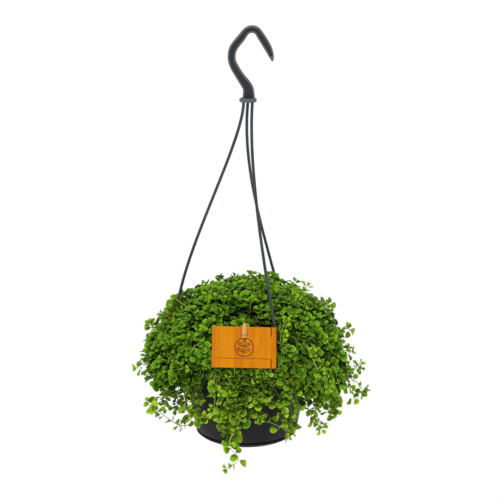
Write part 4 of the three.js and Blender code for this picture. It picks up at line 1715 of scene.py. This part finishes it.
@dataclass
class Crown(Planting):
    """The dome of leafy shoots over the pot, with its skirt and the dark sheet of painted shade inside it.
    """

    profile: Sequence[Point] = (
        (0, 47), (25, 47), (43, 44.5), (56, 40.5), (68, 32.5), (78, 21), (87.5, 9), (95, -3),
        (100, -15), (101, -28), (99, -42), (96, -56),
    )
    flattening: float = 0.2
    lopsided: float = 0.1
    outward: float = 0.75
    lean: Point = (0, -0.06, 0.62)
    lean_sway: float = 0.26
    sizes: Point = (0.82, 1.2)
    youth: float = 0.42
    # Each layer: shoots, depth, painted light and pairs; the deeper layer is painted dark as shade.
    layers: Sequence[tuple[int, float, float, Sequence[int]]] = (
        (660, 0.0, 1.0, (0, 1, 2, 3)), (560, 8.0, 0.3, (1, 2, 3)),
    )
    hem: float = 5.0
    skirt: float = -46.0
    inner_edge: float = 82.0
    twig_radius: float = 0.5
    strand_aside: float = 7.5
    strand_over: Point = (-30, 12)
    strand_depth: float = 4.2
    deepest: float = 10.0
    heart_depth: float = 17.0
    heart_foot: float = 66.0
    heart_seat: Sequence[Point] = ((57, 5.0), (56, -7.9), (0, -7.9))
    seed: int = 11
    sectors: Sequence[str] = ("front", "right", "back", "left")
    top_height: float = 20.0
    front_range: float = 41.0
    fringe_shoots: int = 112
    fringe_range: float = 74.0
    fringe_radius: float = 0.55
    fringe_reach: Point = (84, 89)
    fringe_sizes: Point = (0.86, 1.16)
    fringe_youth: float = 0.3
    fringe_falls: Sequence[Point] = (
        (-74, 34), (-40, 36), (-34, 32), (-30, 12), (-16, 12), (-10, 28), (8, 28), (20, 16), (40, 22),
        (74, 36),
    )
    hollows: Sequence[Point] = (
        (-5, -48, 38, 12), (2, -52, 35, 9), (13, -58, 25, 10), (34, -70, 4, 7), (35, -77, -7, 6),
        (-50, -67, 2, 6), (65, -66, -11, 6), (-56, -23, 37, 5), (-39, -68, 6, 5),
    )
    sprig_spacing: float = 6.4
    sprigs: Sequence[Sequence[Point]] = (
        ((50, -52, 16), (60, -70, 5), (68, -78, -11), (74, -82, -22), (82, -84, -32)),
        ((84, -24, -14), (100, -29, -38), (108, -32, -32), (112, -33, -27), (116, -33, -24)),
        ((84, -24, -26), (100, -30, -38), (111, -33, -43), (115, -34, -49), (119, -34, -56)),
        ((-80, -28, -20), (-92, -36, -24), (-99, -38, -23), (-106, -40, -23), (-111, -40, -26)),
        ((-68, -24, 2), (-81, -30, 6), (-90, -33, 11), (-97, -34, 19)),
        ((-60, -16, 12), (-71, -20, 16), (-79, -22, 22), (-85, -22, 25)),
        ((52, -10, 24), (67, -10, 28), (75, -8, 31), (81, -6, 32), (86, -6, 29)),
        ((36, -22, 34), (46, -20, 41), (56, -12, 46), (62, -8, 51)),
        ((76, -22, -2), (89, -25, 0), (95, -26, 9), (100, -26, 13), (106, -26, 8)),
        ((78, -26, -18), (92, -30, -13), (100, -32, -10), (107, -32, -11)),
        ((44, -56, 34), (38, -66, 29), (35, -70, 22), (33.5, -71.5, 14), (33.5, -73, 6), (35, -76, -3)),
        ((-58, -20, 30), (-66, -16, 35), (-72, -9, 38)),
        ((-62, -20, 22), (-70, -15, 28), (-75, -8, 31)),
        ((-66, -18, 14), (-74, -14, 20), (-79, -8, 24)),
        ((84, -34, -30), (92, -38, -36), (99, -40, -44), (106, -41, -51), (110, -41, -60)),
        ((-80, -50, -28), (-77, -60, -23), (-69, -66, -19), (-61, -72, -15)),
    )

    def rows(self) -> np.ndarray:
        """Draws the profile's smooth line.

        Returns:
            Rows of radius, height and the outward direction.
        """
        line = spline(self.profile, 8)
        tangent = unit(np.gradient(line, axis=0))
        return np.hstack([line, -tangent[:, 1:], tangent[:, :1]])

    def squeeze(self, azimuth: np.ndarray | float) -> np.ndarray:
        """Returns the share of the radius that is left towards the viewer, at the tag."""
        return 1 - self.flattening * np.clip(np.cos(azimuth), 0, None) ** 4

    def lumps(self, points: np.ndarray) -> np.ndarray:
        """Returns slow waves in height over the crown."""
        x, y, z = points.T
        return 2.4 * np.sin(x / 11 + 1.3) * np.sin(y / 13 + 0.4) + 1.9 * np.sin(z / 8 + x / 19 + 2.0)

    def places(
        self, count: int, depth: float, draws: np.random.Generator
    ) -> tuple[np.ndarray, np.ndarray, np.ndarray]:
        """Spreads shoots over the crown, evenly by area.

        Args:
            count: How many shoots to place.
            depth: How far below the surface they end.
            draws: The source of random draws.

        Returns:
            The tips, the surface's outward directions and the shoots' azimuths.
        """
        rows = self.rows()
        steps = np.linalg.norm(np.diff(rows[:, :2], axis=0), axis=1)
        area = np.concatenate([[0], np.cumsum(steps * (rows[1:, 0] + rows[:-1, 0]) / 2)])
        wanted = (np.arange(count) + 0.5) / count * area[-1]
        radius, height, out, rise = (np.interp(wanted, area, column) for column in rows.T)
        azimuth = np.arange(count) * math.pi * (3 - math.sqrt(5)) + draws.normal(0, 0.05, count)
        reach = radius * self.squeeze(azimuth)
        tips = np.stack([reach * np.sin(azimuth), -reach * np.cos(azimuth), height], axis=1)
        normals = unit(np.stack([out * np.sin(azimuth), -out * np.cos(azimuth), rise], axis=1))
        sink = self.lumps(tips) + draws.normal(0, 2.2, count) - 1.0 - depth
        tips = tips + normals * sink[:, None]
        tips[:, 0] += self.lopsided * np.clip(-20 - tips[:, 2], 0, 40)
        return tips, normals, (np.degrees(azimuth) + 180) % 360 - 180

    def hollow(self, tips: np.ndarray) -> np.ndarray:
        """Finds the tips that lie in one of the crown's dark gaps.

        Args:
            tips: The shoots' tips.

        Returns:
            True for each such tip.
        """
        rows = np.array(self.hollows)
        reach = np.linalg.norm(tips[:, None] - rows[None, :, :3], axis=2)
        return (reach < rows[:, 3]).any(axis=1)

    def behind_strands(self, tips: np.ndarray, normals: np.ndarray) -> np.ndarray:
        """Measures how far each shoot sinks so that it passes behind a strand.

        Args:
            tips: The shoots' tips.
            normals: The surface's outward directions.

        Returns:
            The depth for each shoot.
        """
        sink = np.zeros(len(tips))
        low, high = self.strand_over
        for index, (tip, normal) in enumerate(zip(tips, normals)):
            offset = self.clearing.shown - tip
            height = offset @ normal
            aside = np.sqrt(np.maximum(0, (offset**2).sum(axis=1) - height**2))
            close = (aside < self.strand_aside) & (height > low) & (height < high)
            if close.any():
                sink[index] = min(self.deepest, max(0.0, self.strand_depth - height[close].min()))
        return sink

    def grow(self) -> None:
        """Builds the crown's leaves in sprays of a quarter each and a top one."""
        draws = scatter(self.seed)
        sprays = {title: self.spray() for title in (*self.sectors, "top")}
        for count, depth, light, pairs in self.layers:
            tips, normals, degrees = self.places(count, depth, draws)
            front = np.abs(degrees) < self.front_range
            hem = np.where(front, self.hem, self.skirt + 10 * np.sin(np.radians(degrees) * 5))
            keep = tips[:, 2] > hem + draws.normal(0, 5, len(tips))
            keep &= (tips[:, 2] > 3) | (np.hypot(tips[:, 0], tips[:, 1]) > self.inner_edge)
            keep &= ~self.hollow(tips)
            tips, normals, degrees = tips[keep], normals[keep], degrees[keep]
            tips = tips - normals * self.behind_strands(tips, normals)[:, None]
            sway = draws.normal(0, self.lean_sway, tips.shape)
            axis = unit(normals * self.outward + self.lean + sway)
            size = draws.uniform(*self.sizes, len(tips))
            high = tips[:, 2] > self.top_height
            quarter = ((degrees + 45) % 360 // 90).astype(int)
            for number, (title, spray) in enumerate(sprays.items()):
                part = high if title == "top" else (quarter == number) & ~high
                shoots = (tips[part], axis[part], size[part])
                # painted shade: light darkens the deeper layer's leaves and their youth
                spray.add(self.growth.tips(*shoots, self.youth * light, pairs, draws, light))
                for tip, way, scale in zip(*shoots):
                    low = tip - way * 13 * scale - (0, 0, 1.5)
                    line = np.array([tip - way * 1.2, tip - way * 7 * scale, low])
                    tone = stem_tone(draws)
                    if self.clearing.free(line[None])[0]:
                        spray.rods.append((line, self.twig_radius, tone))
        for title, spray in sprays.items():
            spray.build(f"crown_leaves_{title}", "crown_foliage", Finish.CROWN, "leafy_crown")

    def fringe(self) -> None:
        """Builds the short shoots that hang over the rim in front."""
        draws = scatter(self.seed + 1)
        spray = self.spray()
        count = self.fringe_shoots
        azimuths = np.linspace(-self.fringe_range, self.fringe_range, count) + draws.normal(0, 2, count)
        deepest = np.interp(azimuths, *np.array(self.fringe_falls).T)
        falls = -7 + (deepest + 7) * draws.uniform(0, 1, count)
        tips, ways = [], []
        for azimuth, fall in zip(azimuths, falls):
            reach = draws.uniform(*self.fringe_reach) + max(0.0, abs(azimuth) - 40) * 0.22
            tip = around(reach, azimuth, -fall)
            if self.hollow(tip[None])[0]:
                continue
            line = spline([
                around(67, azimuth, 4), around(78, azimuth + draws.normal(0, 1), max(5.0, 6 - fall)),
                around(reach - 1, azimuth, min(4.0, 5 - fall)), tip,
            ], 3)
            if self.clearing.free(line[None])[0]:
                spray.rods.append((line, self.fringe_radius, stem_tone(draws)))
            tips.append(tip)
            ways.append(around(0.8, azimuth, 0.1 if fall > 10 else 0.5) + draws.normal(0, 0.3, 3))
        size = draws.uniform(*self.fringe_sizes, len(tips))
        # painted shade: shoots that hang lower below the rim are painted darker
        light = np.interp([-tip[2] for tip in tips], [2, 12], [0.9, 0.45])
        shoots = (np.array(tips), np.array(ways), size)
        spray.add(self.growth.tips(*shoots, self.fringe_youth, (0, 1, 2, 3), draws, light))
        spray.build("crown_fringe", "crown_foliage", Finish.CROWN, "leafy_crown")

    def long_shoots(self) -> None:
        """Builds the long shoots that leave the crown."""
        draws = scatter(self.seed + 2)
        trails = Trails(self.form, self.growth, self.clearing, spacing=self.sprig_spacing)
        spray = self.spray()
        # light below 1 paints the sprigs' leaves darker, as painted shade
        trail = Trail(0, (), bare=-30.0, tone=0.3, leaf=0.78, light=0.8)
        for sprig in self.sprigs:
            line = spline(sprig, 6)
            spray.add(trails.leaves(line, trail, draws))
            spray.rods.append((line, trails.stem_radius, trail.tone))
        spray.build("crown_long_shoots", "crown_foliage", Finish.TRAILING, "leafy_crown")

    def heart(self) -> None:
        """Builds the dark inside, a sheet of painted shade: a lumpy dome over the rim that stands on the
        soil.
        """
        rows = self.rows()
        inner = rows[:, :2] - rows[:, 2:] * self.heart_depth
        dome = [tuple(row) for row in inner if row[1] > self.hem + 4 and row[0] > 0.5]
        top = (0, dome[0][1])
        profile = [top, *dome, (self.heart_foot, self.hem), *self.heart_seat, top]
        piece = Bench.turned(profile, POT_CENTRE, 72)
        for vertex in piece.data.vertices:
            x, y, z = np.array(vertex.co) / MM - POT_CENTRE
            radius = math.hypot(x, y)
            if radius > 1 and z > self.hem - 1:
                swell = 1 + 1.6 * math.sin(x / 5) * math.sin(y / 6 + 1) * math.sin(z / 4) / max(radius, 20)
                factor = self.squeeze(math.atan2(x, -y)) * swell
                vertex.co = Vector(np.array([x * factor, y * factor, z]) + POT_CENTRE) * MM
        Bench.smooth(piece, 60.0)
        Bench.deliver(piece, "crown_inside", "crown_foliage", Finish.INSIDE, "leafy_crown")

    def build(self) -> None:
        """Builds the dark inside of painted shade, the dome, the fringe and the long shoots."""
        self.heart()
        self.grow()
        self.fringe()
        self.long_shoots()


@dataclass(frozen=True)
class Trail:
    """One stem: its azimuth at the rim, its way from there, its looks and the stems beside it."""

    rim: float
    way: Sequence[Point]
    bare: float = 14.0
    tone: float = 0.2
    leaf: float = 1.0
    tip: float = 1.15
    extra: int = 2
    # light scales the tone and youth of the stem's leaves: painted shade for stems in shade
    light: float = 1.0
    mates: Sequence[Sequence[Point]] = ()


@dataclass
class Trails(Planting):
    """Stems that stand in the soil, bend over the rim and trail down, with their side stems."""

    over_rim: Sequence[Point] = ((62, -20), (62, -5), (66.5, 1.8), (76.5, 2.4), (80.6, -1.6), (81, -9))
    front: Sequence[Trail] = (
        Trail(2, ((7.7, -84.5, -24), (1.7, -84, -45.6), (-6.1, -85, -63.7), (-16, -83, -87),
                  (-14.6, -81, -97), (-9, -80, -104), (-7.5, -79, -109.5), (-14, -79, -115),
                  (-21, -79, -118.5)), tone=0.45, leaf=1.2, tip=0.5, mates=(
            ((-4, -84, -22), (-9, -85, -44), (-14, -84, -64), (-20, -82, -80)),
            ((2, -84, -22), (-2, -85, -42), (-8, -85, -60), (-12, -83, -76)),
            ((-9, -83, -24), (-15, -84, -46), (-21, -83, -68)),
            ((-3, -84, -20), (-6, -86, -40), (-17, -84, -58), (-22, -82, -74)),
            ((5, -84, -18), (3, -86, -34), (-2, -86, -50)),
        )),
        Trail(-20, ((-31.2, -83, -22.9), (-25.6, -80, -45.7), (-20, -76, -78)), bare=2, extra=1),
        Trail(-17, ((-26, -79, -20), (-27, -76, -42), (-31, -70, -60), (-40, -62, -71),
                    (-51, -55, -72.5), (-61, -52, -66)), bare=74, tone=0.45, extra=0),
        Trail(-56, ((-67, -45, -28), (-60, -41, -62), (-56, -39, -84), (-66, -39, -88.5),
                    (-77, -40, -82), (-87, -42, -73), (-93, -44, -67)), tone=0.85, mates=(
            ((-68, -46, -26), (-68, -45, -50), (-71, -43, -70)),
            ((-72, -42, -26), (-78, -41, -50), (-82, -41, -66)),
            ((-66, -48, -26), (-60, -50, -36), (-54, -50, -48), (-50, -50, -61), (-47, -52, -71)),
            ((-60, -54, -20), (-50, -54, -32), (-46, -54, -45), (-44, -54, -53)),
        )),
        Trail(-79, ((-80, -16, -32), (-81, -16, -56), (-88, -17, -71), (-100, -20, -70)), extra=6),
        Trail(53, ((64, -49, -26), (66, -50, -48), (70, -50, -70), (76.3, -50, -88)), mates=(
            ((70, -48, -22), (76, -52, -42), (82, -54, -58), (84, -55, -72)),
            ((74, -42, -22), (82, -47, -42), (88, -49, -54), (92, -50, -60)),
            ((64, -54, -24), (56, -52, -40), (56, -50, -55), (62, -50, -67), (68, -50, -78)),
        )),
        Trail(15, ((19, -82, -18), (17, -83, -38), (29.3, -80, -51), (37, -78, -59)), extra=1),
        Trail(8.5, ((11.5, -78, -20), (8, -75, -44), (12, -72, -66), (28.6, -70, -75),
                    (45, -64, -86)), tone=0.85, extra=1, mates=(
            ((36, -73, -24), (42, -69, -46), (45, -65, -66), (43, -62, -80)),
            ((30, -74, -40), (36, -69, -58), (37, -66, -75)),
        )),
        Trail(-11, ((-16, -82, -20), (-14, -83, -38), (-9, -80, -58)), extra=1),
        Trail(31.5, ((44, -68, -20), (48, -66, -42), (53, -62, -62)), extra=1),
    )
    sides: Sequence[Point] = (
        (72, 78), (98, 84), (125, 78), (163, 82), (192, 86), (218, 78), (243, 82),
    )
    side_way: Sequence[Point] = ((81.5, -24), (83, -44), (90, -58))
    side_tip: float = 94.0
    rim_way: float = 42.0
    spacing: float = 8.4
    leaf_length: float = 9.3
    stem_radius: float = 0.62
    front_range: float = 60.0
    # painted light of the side stems: from painted dark as in shade to painted lighter
    mate_lights: Point = (0.1, 1.4)
    mate_falls: Point = (22, 56)
    mate_drift: float = 9.0
    mate_step: float = 14.0
    mate_radius: float = 82.0
    mate_start: float = -10.0
    seed: int = 29

    def line(self, trail: Trail) -> np.ndarray:
        """Returns a stem's smooth line from the soil to its tip."""
        rim = [around(radius, trail.rim, height) for radius, height in self.over_rim]
        return spline([*rim, *trail.way], 5)

    def side_trails(self) -> list[Trail]:
        """Lays out the stems round the sides and the back.

        Returns:
            The stems.
        """
        trails = []
        for azimuth, fall in self.sides:
            way = [*self.side_way, (self.side_tip, -fall)]
            way = [around(radius, azimuth, height) for radius, height in way]
            trails.append(Trail(azimuth, way, extra=6))
        return trails

    def companions(self, trail: Trail, draws: np.random.Generator) -> list[Trail]:
        """Makes shorter stems beside a main one.

        Args:
            trail: The main stem.
            draws: The source of random draws.

        Returns:
            The new stems.
        """
        made = []
        front = abs(trail.rim) < self.front_range
        sway, spreads, narrowing = (6, (0, 7), 6) if front else (11, (4, 17), 0)
        for _ in range(trail.extra):
            azimuth = trail.rim + draws.uniform(-sway, sway)
            fall = draws.uniform(*self.mate_falls)
            steps = int(fall // self.mate_step) + 2
            drift = draws.uniform(-self.mate_drift, self.mate_drift)
            spread = draws.uniform(*spreads)
            way = []
            for step in range(1, steps + 1):
                share = step / steps
                radius = self.mate_radius + spread * math.sin(share * 2.2) - narrowing * share
                way.append(around(radius, azimuth + drift * share, self.mate_start - fall * share))
            # painted light of this companion stem
            tone, light = stem_tone(draws), draws.uniform(*self.mate_lights)
            made.append(Trail(azimuth, way, bare=6.0, tone=tone, leaf=0.92, light=light))
        return made

    def leaves(self, line: np.ndarray, trail: Trail, draws: np.random.Generator) -> Leaves:
        """Sets crossed leaf pairs along a stem, some buds beside it and a rosette on its tip.

        Args:
            line: The stem's line.
            trail: Its sizes.
            draws: The source of random draws.

        Returns:
            The leaves.
        """
        travel = np.concatenate([[0], np.cumsum(np.linalg.norm(np.diff(line, axis=0), axis=1))])
        spots = np.arange(self.rim_way + trail.bare, travel[-1] - 4, self.spacing)
        count = len(spots)
        spots = spots + draws.uniform(-1.2, 1.2, count)
        place, ahead = (
            np.stack([np.interp(where, travel, column) for column in line.T], axis=1)
            for where in (spots, spots + 2)
        )
        tangent = unit(ahead - place)
        outward = unit(place * (1, 1, 0)) * 0.75 + (0, -0.1, 0.75)
        base_side = unit(np.cross(tangent, unit(outward)))
        front = np.cross(base_side, tangent)
        shrink = 1 - 0.35 * np.linspace(0, 1, count) ** 3
        light, parts = trail.light, []
        for half in (-1, 1):
            turn = draws.normal(0, 0.5, count) + (np.arange(count) % 2) * 1.1
            aside = half * (np.cos(turn)[:, None] * base_side + np.sin(turn)[:, None] * front)
            along = unit(aside + 0.25 * tangent + (0, 0, 0.1))
            up = unit(outward) + 0.3 * draws.normal(0, 1, place.shape)
            length = self.leaf_length * trail.leaf * shrink * draws.uniform(0.8, 1.16, count)
            # darker near the rim, partly older leaves and partly painted shade under the fringe; lighter
            # towards the tip
            tone = np.clip(np.linspace(0.15, 0.75, count) + draws.normal(0, 0.2, count), 0, 1)
            youth = np.clip(np.linspace(-0.1, 0.6, count) + draws.normal(0, 0.14, count), 0, 1)
            # painted shade: light scales tone and youth
            parts.append(Leaves(place + 0.8 * aside, along, up, length, tone * light, youth * light))
        buds = draws.uniform(0, 1, count) < 0.5
        if buds.any():
            total = int(buds.sum())
            way = unit(outward[buds] + 0.5 * draws.normal(0, 1, (total, 3)))
            tips = place[buds] + way * draws.uniform(2.5, 5.5, (total, 1))
            size = np.full(total, 0.8)
            parts.append(self.growth.tips(tips, way, size, 0.7 * light, (0, 1), draws, light))
        end = line[-1]
        away = np.array((0.0, -1.0, 0.0)) if end[1] < 0 else unit(end * (1, 1, 0))
        axis = unit(end - line[-3]) + 0.5 * away + (0, 0, 0.7)
        size = np.array([trail.tip * trail.leaf])
        parts.append(self.growth.tips(line[-1:], axis[None], size, 0.9 * light, (0, 1, 2), draws, light))
        return Leaves.joined(parts)

    def build(self) -> None:
        """Builds every trailing stem with those beside it."""
        draws = scatter(self.seed)
        for number, main in enumerate([*self.front, *self.side_trails()], start=1):
            spray = self.spray()
            stems = [main]
            for way in main.mates:
                # painted light of this side stem
                light = draws.uniform(*self.mate_lights)
                stems.append(Trail(main.rim, way, bare=2.0, tone=0.15, leaf=0.95, light=light))
            for trail in [*stems, *self.companions(main, draws)]:
                line = self.line(trail)
                spray.add(self.leaves(line, trail, draws))
                spray.rods.append((line, self.stem_radius, trail.tone))
            title = f"{number:02d}"
            name = f"trailing_leaves_{title}"
            spray.build(name, "trailing_foliage", Finish.TRAILING, f"trailing_stem_{title}")


# Studio


@dataclass
class Studio:
    """The camera, the soft lights and the pale floor."""

    eye: Point = (-2.24, -1400.0, 136.32)
    pitch: float = 14.2523
    lens: float = 102.78
    sensor: float = 36.0
    far: float = 100.0
    lamps: Sequence[tuple[str, Point, float, float]] = (
        ("key light", (-0.5, -1.1, 1.6), 18.0, 1.8), ("fill light", (1.2, -1.2, 0.8), 70.0, 0.25),
        ("rim light", (0.4, 1.4, 1.4), 60.0, 0.5),
    )
    floor_drop: float = -1.15
    floor_size: float = 60.0
    sky: float = 0.4
    horizon: float = 1.0
    sky_rise: Point = (0.04, 0.4)

    def camera(self) -> None:
        """Makes the camera at the photograph's viewing angle."""
        data = bpy.data.cameras.new("camera")
        data.lens, data.sensor_width, data.clip_end = self.lens, self.sensor, self.far
        camera = bpy.data.objects.new("camera", data)
        camera.location = Vector(self.eye) * MM
        camera.rotation_euler = (math.radians(90 - self.pitch), 0, 0)
        bpy.context.scene.collection.objects.link(camera)
        bpy.context.scene.camera = camera

    def lamp(self, name: str, source: Point, spread: float, strength: float) -> None:
        """Adds a wide soft light.

        Args:
            name: Its name.
            source: The direction that it comes from.
            spread: Its width in degrees.
            strength: Its strength.
        """
        data = bpy.data.lights.new(name, "SUN")
        data.angle = math.radians(spread)
        data.energy = strength
        light = bpy.data.objects.new(name, data)
        light.location = source
        light.rotation_euler = Vector(source).to_track_quat("Z", "Y").to_euler()
        bpy.context.scene.collection.objects.link(light)

    def heaven(self) -> None:
        """Makes a white sky that is brightest at the horizon."""
        world = bpy.data.worlds.new("studio sky")
        board = Board(world)
        direction = board.out(board.node("ShaderNodeTexCoord", {}, {}), "Generated")
        height = board.parts(direction)[2].between(*self.sky_rise)
        strength = self.horizon - (self.horizon - self.sky) * height
        background = board.node("ShaderNodeBackground", {}, {0: (1, 1, 1, 1), 1: strength})
        board.node("ShaderNodeOutputWorld", {}, {0: board.out(background)})
        bpy.context.scene.world = world

    def build(self) -> None:
        """Makes the camera, the lights, the sky and the floor."""
        self.camera()
        for lamp in self.lamps:
            self.lamp(*lamp)
        self.heaven()
        bpy.context.scene.view_settings.view_transform = "Standard"
        Bench.clear()
        bpy.ops.mesh.primitive_plane_add(size=self.floor_size, location=(0, 0, self.floor_drop))
        floor = bpy.context.object
        floor.name = "studio_floor"
        floor.data.materials.append(material(Finish.FLOOR))
        Bench.settle(floor)


def main() -> None:
    """Builds every sub-assembly in order."""
    logging.basicConfig(level=logging.INFO, format="%(message)s")
    strands, pot, tag, form = Strands(), Pot(), Tag(), LeafForm()
    Hook().build(strands)
    strands.build()
    pot.build(strands)
    tag.build()
    form.build()
    growth, clearing = Growth(), Clearing(pot, tag, strands)
    Crown(form, growth, clearing).build()
    Trails(form, growth, clearing).build()
    Studio().build()
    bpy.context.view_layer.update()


if __name__ == "__main__":
    main()
